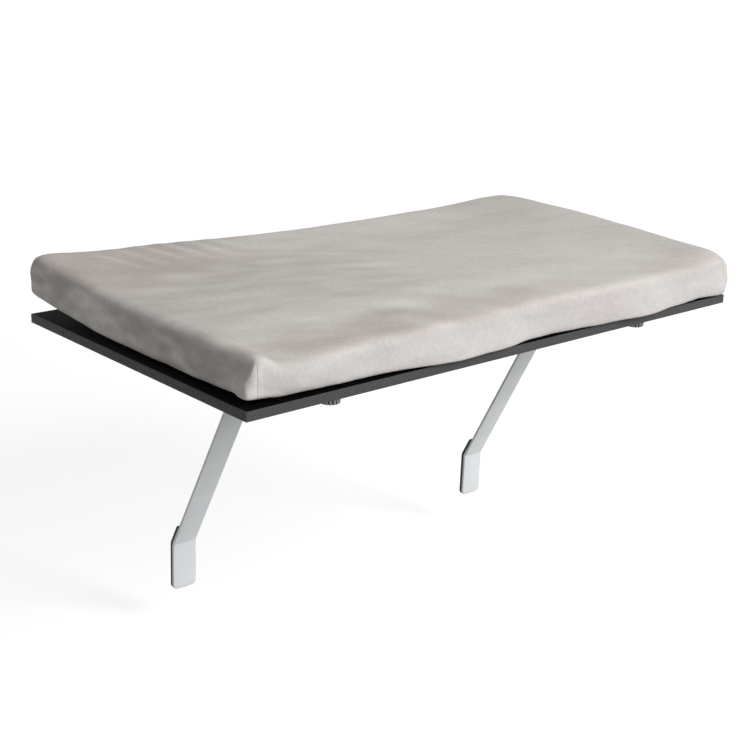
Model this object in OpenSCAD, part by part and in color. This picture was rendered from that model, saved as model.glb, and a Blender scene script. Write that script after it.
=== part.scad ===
// Window cat perch: a board that lies on the window sill, two bent steel brackets
// whose rubber feet press on the wall below it, and a lift-off foam cushion.
// Origin: middle of the width, on the sill's top, in the plane of the wall below.
// X runs along the sill, +Y goes into the window and +Z is up.

/* [Board] */
// Length of the board along the sill
board_w = 650; // [500:10:800]
// Depth of the board, front edge to rear edge
board_d = 350; // [300:5:420]
// Thickness of the board
board_t = 9; // [9:1:18]
// Depth of the strip that lies on the sill, behind the wall's plane
sill_overlap = 90; // [60:5:120]
// Thickness of the glued edge bands
band_t = 0.8; // [0.4:0.2:2]
// Bevel on the outer corners of the edge bands
band_bevel = 0.3; // [0.1:0.1:0.4]

/* [Brackets] */
// Width of the steel strap
strap_w = 28; // [24:1:36]
// Thickness of the steel strap
strap_t = 3; // [2:0.5:5]
// Distance between the middles of the two brackets
bracket_span = 422; // [300:2:460]
// Height from the sill's top down to the bottom of the foot
foot_drop = 280; // [240:5:340]
// Length of the upright foot, below its bend
foot_l = 50; // [40:1:70]
// Flat strap between the rear knob's axis and the start of the bend behind it
knob_to_bend = 23.4; // [20:0.2:40]
// Inside radius of the two bends
bend_r = 4; // [3:0.5:8]
// Radius of the strap's rounded ends
strap_end_r = 5.5; // [2:0.5:10]
// Setback of the front knob from the board's front edge
knob_setback = 30; // [24:1:40]
// Distance between the two knobs of one bracket
knob_pitch = 80; // [50:1:85]
// Strap left in front of the front knob's hole
flange_end = 14; // [10:1:18]
// Clearance hole in the strap for a stud
strap_hole_d = 6.5; // [6.4:0.1:7]

/* [Foot pads] */
// Thickness of the rubber pad behind the foot
pad_t = 3.5; // [2:0.5:6]
// How far the pad runs up behind the sloping stretch
pad_wrap = 22; // [10:1:40]

/* [Knobs] */
// Diameter of the knob's grip
knob_d = 22; // [18:1:30]
// Height of the whole knob
knob_h = 9.6; // [9:0.1:16]
// Diameter of the boss that bears on the washer
boss_d = 14; // [12:0.5:16]
// Height of that boss
boss_h = 2; // [1:0.5:3]
// Number of slots round the grip
slots = 16; // [10:1:18]
// Width of one slot
slot_w = 1.8; // [1:0.1:2.2]
// Depth of one slot
slot_depth = 1.6; // [0.8:0.1:2]
// Rounding of the grip's rims
knob_round = 1.4; // [0.6:0.2:2]
// Depth of the dish in the knob's end
dish_depth = 0.6; // [0.2:0.1:1]
// Thread diameter of the stud
stud_d = 6; // [6:0.1:6]
// Width across the flats of the stud's moulded-in head
stud_head_af = 10; // [8:1:10]
// Height of that head
stud_head_h = 4; // [3:0.5:4]
// Knob material left under the head
stud_cover = 2; // [1.5:0.5:3]
// Gap between the stud's tip and the board's top
stud_tip_gap = 0.7; // [0.4:0.1:2]
// Diameter of the washer
washer_d = 16; // [14:1:20]
// Thickness of the washer
washer_t = 1.6; // [1:0.2:2]
// Hole in the washer
washer_hole_d = 6.4; // [6.3:0.1:6.8]

/* [Tee nuts] */
// Diameter of the tee nut's flange
nut_flange_d = 19; // [16:1:22]
// Thickness of the flange
nut_flange_t = 1.2; // [1:0.1:1.6]
// Outside diameter of the barrel
nut_barrel_d = 8; // [7.6:0.2:9]
// Length of the barrel under the flange
nut_barrel_l = 7; // [5:0.5:7.5]
// Length of the prongs
prong_l = 4; // [3:0.5:6]
// Width of a prong
prong_w = 3; // [2:0.5:4]
// Distance of the prongs from the nut's axis
prong_r = 8; // [7:0.25:9]
// Clearance between a stud and the thread that holds it, on the radius
thread_gap = 0.05; // [0.02:0.01:0.09]

/* [Fastening tape] */
// Thickness of the hook tape
hook_t = 1.3; // [1:0.1:2]
// Thickness of the loop tape
loop_t = 1.7; // [1:0.1:2]
// Width of the tapes
tape_w = 50; // [25:5:50]
// Length of the tape on the sill
sill_tape_l = 500; // [300:10:560]
// How far the sill tape reaches in front of the wall's plane
sill_tape_front = 10; // [0:1:20]
// Length of each tape under the cushion
seat_tape_l = 150; // [80:10:150]
// Middle of the front seat tape, ahead of the wall's plane
seat_tape_front = 185; // [140:5:210]
// Middle of the rear seat tape, behind the wall's plane
seat_tape_rear = 15; // [0:5:35]

/* [Sill screws] */
// Distance between the two screw holes
screw_span = 400; // [300:10:440]
// Screw holes' distance from the rear edge
screw_inset = 25; // [15:1:30]
// Hole for a wood screw
screw_hole_d = 4.5; // [4:0.1:5.5]
// Diameter of the countersink
screw_sink_d = 9; // [8:0.5:11]

/* [Cushion] */
// Length of the cushion
cushion_l = 652; // [560:2:690]
// Depth of the cushion
cushion_d = 344; // [300:2:360]
// Height of the cushion at its edges
cushion_t = 41; // [34:1:60]
// Shift of the cushion towards the right end
cushion_shift = 5; // [-6:1:6]
// Setback of the cushion from the board's front edge
cushion_setback = 3; // [-2:1:8]
// Rounding of the four upright corners
cushion_corner_r = 17; // [15:1:40]
// Rounding of the top and bottom edges
cushion_edge_r = 10; // [8:1:13]
// Extra height in the middle of the top
crown = 2; // [0.5:0.5:8]
// How far the sides pull in between the corners
draw_in = 3; // [1:0.5:5]
// Lift of the rear left corner, where the pad curls up
curl_left = 15; // [0:1:20]
// Lift of the rear right corner
curl_right = 8; // [0:1:15]
// Drop of the wavy front hem between the lifts
hem_drop = 2.4; // [0:0.1:2.6]
// Thickness of the cover's cloth
cloth_t = 1; // [0.8:0.1:1.5]
// Width of the hem that turns in under the cushion
hem_w = 5; // [3:1:12]
// Gap between the foam and its cover
foam_gap = 0.3; // [0.2:0.1:1]

/* [Zip] */
// Length of the zip in the rear side
zip_l = 260; // [150:10:280]
// Shift of the zip towards the right end
zip_shift = 30; // [-30:5:50]
// Width of the zip's tape
zip_tape_w = 24; // [16:1:24]
// Thickness of the zip's tape
zip_tape_t = 0.8; // [0.5:0.1:1]
// Width of the row of teeth
teeth_w = 5; // [4:0.5:6]
// Height of the row of teeth
teeth_t = 1.2; // [1:0.1:1.5]
// Length of one tooth and its gap
tooth_pitch = 5; // [4:0.5:8]
// Length of the slider
slider_l = 10; // [8:0.5:12]
// Thickness of the slider's top plate
slider_plate_t = 1.2; // [0.8:0.1:1.5]
// Clearance of the slider round the teeth
slider_gap = 0.15; // [0.1:0.05:0.3]
// Length of the pull
pull_l = 24; // [15:1:30]
// Width of the pull
pull_w = 6; // [4.6:0.2:8]
// Thickness of the pull
pull_t = 1.2; // [0.8:0.1:1.2]
// Diameter of the pin that holds the pull
pull_pin_d = 1.2; // [1:0.1:1.2]

/* [Hidden] */
$fn = 64;
black = [0.05, 0.05, 0.055];
dark_plastic = [0.42, 0.42, 0.43];
white_paint = [0.86, 0.88, 0.89];
steel = [0.72, 0.73, 0.74];
grey_plush = [0.74, 0.73, 0.71];
dark_cloth = [0.2, 0.2, 0.21];
cut = 1;

board_z = hook_t + loop_t;
board_top = board_z + board_t;
board_front = sill_overlap - board_d;

left = -1;
right = 1;
front_knob_y = board_front + knob_setback;
rear_knob_y = front_knob_y + knob_pitch;
knob_ys = [front_knob_y, rear_knob_y];
nut_fit = 0.1;
nut_hole_d = nut_barrel_d + nut_fit;
nut_seat_d = nut_flange_d + 2 * nut_fit;

flange_z = board_z - strap_t;
foot_face_y = -pad_t - strap_t;
foot_bend = [foot_face_y - bend_r, foot_l - foot_drop];
flange_bend = [rear_knob_y + knob_to_bend, flange_z - bend_r];
strap_lean = atan2(foot_bend[0] - flange_bend[0], flange_bend[1] - foot_bend[1]);
flange_front_y = front_knob_y - flange_end;

washer_z = flange_z - washer_t;
knob_z = washer_z - knob_h;
stud_head_z = knob_z + stud_cover + dish_depth;
stud_tip_z = board_top - stud_tip_gap;

cushion_z = board_top + hook_t + loop_t;
cushion_mid = [cushion_shift, board_front + cushion_setback + cushion_d / 2];
half_l = cushion_l / 2;
half_d = cushion_d / 2;
seat_tape_x = 20;
seat_tape_ys = [-seat_tape_front, seat_tape_rear];
curl_left_from = -60;
curl_right_from = 100;
curl_y_from = [-60, -150];
hem_waves = [[-70, 95], [165, 95]];
hem_bulge = 4;
pull_share = 0.4;

zip_mid = [zip_shift, cushion_mid[1] + half_d - draw_in, cushion_z + cushion_t / 2];
slider_wall_t = 1.2;
slider_stop = 3;
slider_half_w = teeth_w / 2 + slider_gap + slider_wall_t;
slider_x = zip_mid[0] - zip_l / 2 + slider_l / 2 + slider_stop;
teeth_y = zip_mid[1] + zip_tape_t;
slider_top_y = teeth_y + teeth_t + slider_gap + slider_plate_t;
lug_t = 1;
eye_w = 1.8;
eye_gap = 0.15;
eye_wall_t = 0.6;
eye_r = pull_pin_d / 2 + eye_wall_t;
eye_lift = 0.2;
pin_y = slider_top_y + eye_r + eye_lift;
pull_neck = 3;

// Points along an arc, from one angle to another
function arc(mid, r, from, to, steps = 8) =
    [for (i = [0 : steps]) mid + r * [cos(from + (to - from) * i / steps),
                                      sin(from + (to - from) * i / steps)]];

// Numbers held between nought and one, and eased at both ends
function unit(t) = min(1, max(0, t));
function eased(t) = unit(t) * unit(t) * (3 - 2 * unit(t));

// Rounded corner taken off the end of a flat bar that lies along +Y
module end_corners(width, r, thick) {
    for (side = [left, right])
        translate([side * (width / 2 - r), r, 0]) difference() {
            translate([side < 0 ? -r - cut : 0, -r - cut, -cut]) cube([r + cut, r + cut, thick + 2 * cut]);
            translate([0, 0, -2 * cut]) cylinder(r = r, h = thick + 4 * cut);
        }
}

// The board's core, with the seats of the tee nuts and the two countersunk screw holes
module board() {
    color(black) difference() {
        translate([-board_w / 2 + band_t, board_front + band_t, board_z])
            cube([board_w - 2 * band_t, board_d - 2 * band_t, board_t]);
        for (side = [left, right], y = knob_ys)
            translate([side * bracket_span / 2, y, 0]) {
                translate([0, 0, board_z - cut]) cylinder(d = nut_hole_d, h = board_t + 2 * cut);
                translate([0, 0, board_top - nut_flange_t]) cylinder(d = nut_seat_d, h = nut_flange_t + cut);
                nut_prongs(cut);
            }
        for (side = [left, right])
            translate([side * screw_span / 2, sill_overlap - screw_inset, board_z]) {
                translate([0, 0, -cut]) cylinder(d = screw_hole_d, h = board_t + 2 * cut);
                translate([0, 0, board_t - (screw_sink_d - screw_hole_d) / 2])
                    cylinder(d1 = screw_hole_d, d2 = screw_sink_d, h = (screw_sink_d - screw_hole_d) / 2);
            }
    }
}

// One glued edge band, along X, its outer face towards -Y
module edge_band(length) {
    rotate([90, 0, 90]) linear_extrude(height = length, center = true)
        polygon([[band_t, 0], [band_t, board_t], [band_bevel, board_t], [0, board_t - band_bevel],
                 [0, band_bevel], [band_bevel, 0]]);
}

module front_edge_band() {
    color(black) translate([0, board_front, board_z]) edge_band(board_w);
}

module rear_edge_band() {
    color(black) translate([0, sill_overlap, board_z]) rotate([0, 0, 180]) edge_band(board_w);
}

module side_edge_band(side) {
    color(black) translate([side * board_w / 2, sill_overlap - board_d / 2, board_z])
        rotate([0, 0, side * 90]) edge_band(board_d - 2 * band_t);
}

module left_edge_band() side_edge_band(left);
module right_edge_band() side_edge_band(right);

// Four prongs bent down from a tee nut's flange, on the nut's own axis
module nut_prongs(above) {
    for (turn = [45 : 90 : 315])
        rotate([0, 0, turn]) translate([prong_r - nut_flange_t / 2, -prong_w / 2, board_top - nut_flange_t - prong_l])
            cube([nut_flange_t, prong_w, prong_l + above * 0.1]);
}

// The four pronged nuts pressed into the board from above
module tee_nuts() {
    color(steel) for (side = [left, right], y = knob_ys)
        translate([side * bracket_span / 2, y, 0]) {
            difference() {
                union() {
                    translate([0, 0, board_top - nut_flange_t]) cylinder(d = nut_flange_d, h = nut_flange_t);
                    translate([0, 0, board_top - nut_flange_t - nut_barrel_l])
                        cylinder(d = nut_barrel_d, h = nut_barrel_l + nut_flange_t);
                    nut_prongs(1);
                }
                translate([0, 0, board_z]) cylinder(d = stud_d + 2 * thread_gap, h = board_t + cut);
            }
        }
}

// A flat strip of fastening tape with rounded corners
module tape(length, thick) {
    corner_r = 4;
    linear_extrude(height = thick) union() {
        square([length, tape_w - 2 * corner_r], center = true);
        square([length - 2 * corner_r, tape_w], center = true);
        for (x = [-1, 1], y = [-1, 1])
            translate([x * (length / 2 - corner_r), y * (tape_w / 2 - corner_r)]) circle(r = corner_r);
    }
}

module sill_loop_tape() {
    color(dark_cloth) translate([0, tape_w / 2 - sill_tape_front, 0]) tape(sill_tape_l, loop_t);
}

module sill_hook_tape() {
    color(black) translate([0, tape_w / 2 - sill_tape_front, loop_t]) tape(sill_tape_l, hook_t);
}

module seat_hook_tapes() {
    color(black) for (y = seat_tape_ys)
        translate([seat_tape_x, y, board_top]) tape(seat_tape_l, hook_t);
}

module seat_loop_tapes() {
    color(dark_cloth) for (y = seat_tape_ys)
        translate([seat_tape_x, y, board_top + hook_t]) tape(seat_tape_l, loop_t);
}

// One bracket, bent from flat strap: upright foot, slope and flange under the board
module bracket(side) {
    outer_r = bend_r + strap_t;
    profile = concat(
        [[foot_face_y, -foot_drop]],
        arc(foot_bend, bend_r, 0, strap_lean),
        arc(flange_bend, bend_r, strap_lean, 90),
        [[flange_front_y, flange_z], [flange_front_y, board_z]],
        arc(flange_bend, outer_r, 90, strap_lean),
        arc(foot_bend, outer_r, strap_lean, 0),
        [[foot_face_y + strap_t, -foot_drop]]);
    color(white_paint) translate([side * bracket_span / 2, 0, 0]) difference() {
        rotate([90, 0, 90]) linear_extrude(height = strap_w, center = true) polygon(profile);
        for (y = knob_ys)
            translate([0, y, flange_z - cut]) cylinder(d = strap_hole_d, h = strap_t + 2 * cut);
        translate([0, flange_front_y, flange_z]) end_corners(strap_w, strap_end_r, strap_t);
        translate([0, foot_face_y + strap_t, -foot_drop]) rotate([90, 0, 0])
            end_corners(strap_w, strap_end_r, strap_t);
    }
}

module left_bracket() bracket(left);
module right_bracket() bracket(right);

// The rubber pad glued behind a foot and round its bend
module foot_pad(side) {
    inner_r = bend_r + strap_t;
    up = [-sin(strap_lean), cos(strap_lean)];
    profile = concat(
        [[-pad_t, -foot_drop]],
        arc(foot_bend, inner_r, 0, strap_lean),
        [foot_bend + inner_r * [cos(strap_lean), sin(strap_lean)] + pad_wrap * up,
         foot_bend + (inner_r + pad_t) * [cos(strap_lean), sin(strap_lean)] + pad_wrap * up],
        arc(foot_bend, inner_r + pad_t, strap_lean, 0),
        [[0, -foot_drop]]);
    color(black) translate([side * bracket_span / 2, 0, 0]) difference() {
        rotate([90, 0, 90]) linear_extrude(height = strap_w, center = true) polygon(profile);
        translate([0, 0, -foot_drop]) rotate([90, 0, 0]) end_corners(strap_w, strap_end_r, pad_t);
    }
}

module left_foot_pad() foot_pad(left);
module right_foot_pad() foot_pad(right);

// The washer between a knob and the bracket's flange
module washer(side, y) {
    color(steel) translate([side * bracket_span / 2, y, washer_z]) difference() {
        cylinder(d = washer_d, h = washer_t);
        translate([0, 0, -cut]) cylinder(d = washer_hole_d, h = washer_t + 2 * cut);
    }
}

module left_front_washer() washer(left, front_knob_y);
module left_rear_washer() washer(left, rear_knob_y);
module right_front_washer() washer(right, front_knob_y);
module right_rear_washer() washer(right, rear_knob_y);

// The steel stud, its hexagon head moulded into the knob
module stud_shape() {
    translate([0, 0, stud_head_z]) cylinder(d = stud_head_af / cos(30), h = stud_head_h, $fn = 6);
    translate([0, 0, stud_head_z]) cylinder(d = stud_d, h = stud_tip_z - stud_head_z);
}

module stud(side, y) {
    color(steel) translate([side * bracket_span / 2, y, 0]) stud_shape();
}

module left_front_stud() stud(left, front_knob_y);
module left_rear_stud() stud(left, rear_knob_y);
module right_front_stud() stud(right, front_knob_y);
module right_rear_stud() stud(right, rear_knob_y);

// One slot down the side of a grip, with a round floor
module grip_slot(r, h) {
    translate([r - slot_depth + slot_w / 2, 0, -cut]) {
        cylinder(d = slot_w, h = h + cut, $fn = 24);
        translate([0, -slot_w / 2, 0]) cube([slot_depth, slot_w, h + cut]);
    }
}

// One slotted plastic knob: boss, rounded grip and dished end
module knob(side, y) {
    r = knob_d / 2;
    grip_top = knob_h - boss_h;
    rim_w = 4;
    dish_r = r - rim_w;
    profile = concat(
        [[0, dish_depth], [dish_r - dish_depth, dish_depth], [dish_r, 0]],
        arc([r - knob_round, knob_round], knob_round, -90, 0, 4),
        arc([r - knob_round, grip_top - knob_round], knob_round, 0, 90, 4),
        [[boss_d / 2, grip_top], [boss_d / 2, knob_h], [0, knob_h]]);
    color(dark_plastic) translate([side * bracket_span / 2, y, 0]) difference() {
        translate([0, 0, knob_z]) difference() {
            rotate_extrude() polygon(profile);
            for (i = [0 : slots - 1])
                rotate([0, 0, i * 360 / slots]) grip_slot(r, grip_top);
        }
        stud_shape();
    }
}

module left_front_knob() knob(left, front_knob_y);
module left_rear_knob() knob(left, rear_knob_y);
module right_front_knob() knob(right, front_knob_y);
module right_rear_knob() knob(right, rear_knob_y);

// How far the pad has curled up off the board at a place on it
function curl(x, y) =
    curl_left * pow(unit((curl_left_from - x) / (half_l + curl_left_from)), 2)
        * pow(unit((y - curl_y_from[0]) / (sill_overlap - curl_y_from[0])), 1.5)
    + curl_right * pow(unit((x - curl_right_from) / (half_l - curl_right_from)), 2)
        * unit((y - curl_y_from[1]) / (sill_overlap - curl_y_from[1]));

// The wave of the front hem, nought to one, at a place along it
function hem_wave(x) = max([for (w = hem_waves) abs(x - w[0]) < w[1] ? pow(cos(90 * (x - w[0]) / w[1]), 2) : 0]);

// The cushion's outline seen from above: corner arcs and sides that pull in between them,
// each point with the direction that it faces
function side_points(k, count) =
    let (run = k % 2 == 0 ? half_l - cushion_corner_r : half_d - cushion_corner_r,
         out = k % 2 == 0 ? half_d : half_l,
         facing = [cos(90 * k + 90), sin(90 * k + 90)],
         along = [-facing[1], facing[0]])
    [for (j = [1 : count])
        let (s = 2 * j / (count + 1) - 1,
             place = facing * (out - draw_in * eased((1 - abs(s)) / pull_share)) + along * s * run)
        [place, facing]];

function corner_points(k) =
    let (mid = [(k == 0 || k == 3 ? 1 : -1) * (half_l - cushion_corner_r),
                (k < 2 ? 1 : -1) * (half_d - cushion_corner_r)])
    [for (j = [0 : 3])
        let (facing = [cos(90 * k + 30 * j), sin(90 * k + 30 * j)])
        [mid + cushion_corner_r * facing, facing]];

cushion_outline = [for (k = [0 : 3]) each concat(corner_points(k), side_points(k, k % 2 == 0 ? 8 : 4))];

// One ring of the cushion's surface. A ring is [inset, height, share of the way to the middle].
function ring_points(ring) =
    [for (o = cushion_outline)
        let (faces_front = o[1][1] < -0.9,
             low = faces_front && ring[2] == 0 ? unit(1 - ring[1] / cushion_edge_r) : 0,
             wave = low * hem_wave(cushion_mid[0] + o[0][0]),
             flat = cushion_mid + (o[0] - (ring[0] - wave * hem_bulge) * o[1]) * (1 - ring[2]))
        [flat[0], flat[1], cushion_z + curl(flat[0], flat[1]) + ring[1] - wave * hem_drop]];

// A closed body from rings that run from the middle of its underside to the middle of its top.
// Underside and top are split into triangles alike, so two bodies with like rings lie parallel.
module ring_body(rings) {
    count = len(cushion_outline);
    last = len(rings) - 1;
    middle = curl(cushion_mid[0], cushion_mid[1]) + cushion_z;
    points = concat(
        [[cushion_mid[0], cushion_mid[1], middle + rings[0][1]]],
        [for (ring = rings) each ring_points(ring)],
        [[cushion_mid[0], cushion_mid[1], middle + rings[last][1]]]);
    faces = concat(
        [for (i = [0 : count - 1]) [0, 1 + i, 1 + (i + 1) % count]],
        [for (r = [0 : last - 1], i = [0 : count - 1], half = [0, 1])
            let (a = 1 + r * count + i,
                 b = 1 + r * count + (i + 1) % count,
                 c = a + count,
                 d = b + count,
                 outwards = rings[r][2] > rings[r + 1][2])
            outwards ? (half == 0 ? [a, c, b] : [b, c, d])
                     : (half == 0 ? [a, c, d] : [a, d, b])],
        [for (i = [0 : count - 1])
            [1 + (last + 1) * count, 1 + last * count + (i + 1) % count, 1 + last * count + i]]);
    polyhedron(points = points, faces = faces);
}

// Rings of a rounded side from the underside's edge to the top's edge, set in by a gap
function side_rings(gap) =
    let (r = cushion_edge_r,
         slant = gap + (1 - cos(45)) * (r - gap))
    [[r, gap, 0], [slant, slant, 0], [gap, r, 0],
     [gap, cushion_t - r, 0], [slant, cushion_t - slant, 0], [r, cushion_t - gap, 0]];

// Rings of the crowned top, set down by a gap, and of the flat underside
inward = [0.12, 0.3, 0.5, 0.75];
function top_rings(gap) =
    [for (f = inward) [cushion_edge_r, cushion_t - gap + crown * (1 - pow(1 - f, 2)), f]];
function under_rings(height, inset) =
    [for (i = [len(inward) - 1 : -1 : 0]) [inset, height, inward[i]]];

// The sewn cover: top and sides in one shell, its hem turned in under the foam
module cushion_cover() {
    opening = cushion_edge_r + hem_w;
    below = -hem_drop - hem_bulge;
    color(grey_plush) difference() {
        ring_body(concat([[cushion_edge_r, 0, inward[1]]], side_rings(0), top_rings(0)));
        ring_body(concat([[opening, below, inward[1]], [opening, below, 0], [opening, cloth_t, 0]],
                         side_rings(cloth_t), top_rings(cloth_t)));
    }
}

// The bottom panel sewn into the cover's hem
seam_gap = 0.3;
base_inset = cushion_edge_r + hem_w + seam_gap;
module cushion_base() {
    color(dark_cloth) ring_body(concat(
        under_rings(0, base_inset), [[base_inset, 0, 0], [base_inset, cloth_t, 0]],
        [for (f = inward) [base_inset, cloth_t, f]]));
}

// The slab of foam inside the cover, its underside parallel to the bottom panel
module foam_core() {
    gap = cloth_t + foam_gap;
    color("beige") ring_body(concat(
        under_rings(gap, base_inset), [[base_inset, gap, 0]], side_rings(gap), top_rings(gap)));
}

// The zip's woven tape on the rear side
module zip_tape() {
    color(dark_cloth) translate([zip_mid[0] - zip_l / 2, zip_mid[1], zip_mid[2] - zip_tape_w / 2])
        cube([zip_l, zip_tape_t, zip_tape_w]);
}

// The closed row of teeth, on a spine that holds them together
module zip_teeth() {
    spine_t = 0.6;
    count = floor((zip_l - tooth_pitch) / tooth_pitch);
    color(black) translate([zip_mid[0], teeth_y, zip_mid[2]]) {
        translate([-zip_l / 2, 0, -teeth_w / 2]) cube([zip_l, spine_t, teeth_w]);
        for (i = [0 : count - 1])
            translate([(i - count / 2) * tooth_pitch + tooth_pitch / 4, spine_t / 2, -teeth_w / 2])
                cube([tooth_pitch / 2, teeth_t - spine_t / 2, teeth_w]);
    }
}

// The zip's slider, a channel over the teeth with two lugs and the pull's pin
module zip_slider() {
    wall_foot_y = teeth_y + slider_gap;
    color(steel) translate([slider_x, 0, zip_mid[2]]) {
        difference() {
            translate([-slider_l / 2, wall_foot_y, -slider_half_w])
                cube([slider_l, slider_top_y - wall_foot_y, 2 * slider_half_w]);
            translate([-slider_l / 2 - cut, wall_foot_y - cut, -teeth_w / 2 - slider_gap])
                cube([slider_l + 2 * cut, slider_top_y - slider_plate_t - wall_foot_y + cut,
                      teeth_w + 2 * slider_gap]);
        }
        for (side = [-1, 1])
            translate([0, pin_y, side * (eye_w / 2 + eye_gap + lug_t / 2)]) {
                cylinder(r = eye_r, h = lug_t, center = true, $fn = 32);
                translate([-eye_r, slider_top_y - pin_y - slider_plate_t / 2, -lug_t / 2])
                    cube([2 * eye_r, pin_y - slider_top_y + slider_plate_t / 2, lug_t]);
            }
        translate([0, pin_y, 0])
            cylinder(d = pull_pin_d, h = eye_w + 2 * eye_gap + lug_t, center = true, $fn = 32);
    }
}

// The zip's pull: an eye round the pin, a neck and a rounded tab
module zip_pull() {
    tab_end = pull_l - pull_w / 2;
    tab_join = 0.1;
    color(steel) translate([slider_x, pin_y, zip_mid[2]]) difference() {
        union() {
            cylinder(r = eye_r, h = eye_w, center = true, $fn = 32);
            translate([-pull_neck - eye_r, -pull_t / 2, -eye_w / 2]) cube([pull_neck + eye_r, pull_t, eye_w]);
            translate([-tab_end, -pull_t / 2, -pull_w / 2])
                cube([tab_end - pull_neck - eye_r + tab_join, pull_t, pull_w]);
            translate([-tab_end, 0, 0]) rotate([90, 0, 0]) cylinder(d = pull_w, h = pull_t, center = true);
        }
        cylinder(d = pull_pin_d + 2 * thread_gap, h = eye_w + 2 * cut, center = true, $fn = 32);
        translate([-tab_end, 0, 0]) rotate([90, 0, 0])
            cylinder(d = pull_w / 3, h = pull_t + 2 * cut, center = true);
    }
}

board();
front_edge_band();
rear_edge_band();
left_edge_band();
right_edge_band();
tee_nuts();
sill_loop_tape();
sill_hook_tape();
seat_hook_tapes();
left_bracket();
right_bracket();
left_foot_pad();
right_foot_pad();
left_front_washer();
left_rear_washer();
right_front_washer();
right_rear_washer();
left_front_stud();
left_rear_stud();
right_front_stud();
right_rear_stud();
left_front_knob();
left_rear_knob();
right_front_knob();
right_rear_knob();
cushion_cover();
cushion_base();
foam_core();
seat_loop_tapes();
zip_tape();
zip_teeth();
zip_slider();
zip_pull();
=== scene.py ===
import math
import random

import bmesh
import bpy
from mathutils import Matrix, Vector, noise
from mathutils.bvhtree import BVHTree


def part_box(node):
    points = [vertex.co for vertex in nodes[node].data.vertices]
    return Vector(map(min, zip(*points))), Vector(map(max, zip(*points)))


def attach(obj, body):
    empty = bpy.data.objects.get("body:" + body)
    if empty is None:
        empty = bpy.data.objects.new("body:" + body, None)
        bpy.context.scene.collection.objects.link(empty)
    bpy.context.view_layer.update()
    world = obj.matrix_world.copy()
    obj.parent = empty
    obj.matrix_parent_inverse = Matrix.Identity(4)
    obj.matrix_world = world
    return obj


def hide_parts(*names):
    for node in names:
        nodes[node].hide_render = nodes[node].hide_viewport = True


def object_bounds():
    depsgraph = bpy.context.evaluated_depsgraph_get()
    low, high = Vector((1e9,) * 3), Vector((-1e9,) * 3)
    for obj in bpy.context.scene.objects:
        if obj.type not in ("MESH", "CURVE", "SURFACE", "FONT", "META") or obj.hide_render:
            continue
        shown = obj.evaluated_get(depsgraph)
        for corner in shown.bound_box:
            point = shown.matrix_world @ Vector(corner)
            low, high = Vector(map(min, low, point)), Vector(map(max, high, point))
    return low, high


# Window cat perch: a black board on a window sill, held level by two bent white straps that
# press on the wall below, with a grey plush cushion taped on top.
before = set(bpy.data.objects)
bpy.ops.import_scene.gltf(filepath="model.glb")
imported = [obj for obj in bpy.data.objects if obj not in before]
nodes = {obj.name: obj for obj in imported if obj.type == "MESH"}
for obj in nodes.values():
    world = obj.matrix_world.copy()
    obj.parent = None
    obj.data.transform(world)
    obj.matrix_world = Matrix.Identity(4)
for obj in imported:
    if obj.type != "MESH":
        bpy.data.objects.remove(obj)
cad_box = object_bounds()


# Camera
# It stands in front of the sill, to the left of the perch and a little above it. Its place,
# its three angles and its focal length come from the board's straight edges in the photograph.
scene = bpy.context.scene
camera_place = Vector((-1.0123, -1.1694, 0.4244))
turned_right = math.radians(42.30)
tilted_down = math.radians(18.32)
rolled = math.radians(2.27)
focal_length_px = 1484.44
image_width_px = 751
camera_data = bpy.data.cameras.new("camera")
camera_data.sensor_fit = "HORIZONTAL"
camera_data.sensor_width = 36
camera_data.lens = focal_length_px / image_width_px * camera_data.sensor_width
camera = bpy.data.objects.new("camera", camera_data)
scene.collection.objects.link(camera)
camera.matrix_world = (
    Matrix.Translation(camera_place)
    @ Matrix.Rotation(-turned_right, 4, "Z")
    @ Matrix.Rotation(math.radians(90) - tilted_down, 4, "X")
    @ Matrix.Rotation(rolled, 4, "Z")
)
scene.camera = camera


# Lamps and world
# One broad lamp stands in front and to the right, a second hangs over the right end, and a weak
# one stands at the left. A dim white surround fills the shadows, and is plain white where seen.
scene.view_settings.view_transform = "Standard"
perch_middle = Vector((0, -0.1, 0))
surround_strength = 0.3


def hang_lamp(name, spot, width, power):
    """A square area lamp that faces the middle of the perch."""
    lamp_data = bpy.data.lights.new(name, "AREA")
    lamp_data.size = width
    lamp_data.energy = power
    lamp = bpy.data.objects.new(name, lamp_data)
    scene.collection.objects.link(lamp)
    lamp.location = spot
    lamp.rotation_euler = (perch_middle - Vector(spot)).to_track_quat("-Z", "Y").to_euler()


def place(material, kind, inputs=None, **settings):
    """Adds one node. An input is a number, or the socket that is linked to it."""
    node = material.node_tree.nodes.new(kind)
    for key, value in settings.items():
        setattr(node, key, value)
    for key, value in (inputs or {}).items():
        if isinstance(value, bpy.types.NodeSocket):
            material.node_tree.links.new(value, node.inputs[key])
        else:
            node.inputs[key].default_value = value
    return node


def reckon(material, operation, first, second=0.0):
    """One sum on patterns or numbers."""
    return place(material, "ShaderNodeMath", {0: first, 1: second}, operation=operation).outputs[0]


def between(material, amount, low=0.0, high=1.0, low_at=0.35, high_at=0.65):
    """Turns a pattern into a number from low to high."""
    return place(material, "ShaderNodeMapRange", {
        "Value": amount, "From Min": low_at, "From Max": high_at, "To Min": low, "To Max": high}).outputs[0]


def seen(material):
    """1 for what the camera sees, mirrored or through glass too, and 0 for light that only falls."""
    rays = place(material, "ShaderNodeLightPath")
    by_eye = reckon(material, "MAXIMUM", rays.outputs["Is Camera Ray"], rays.outputs["Is Glossy Ray"])
    return reckon(material, "MAXIMUM", by_eye, rays.outputs["Is Transmission Ray"])


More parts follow.
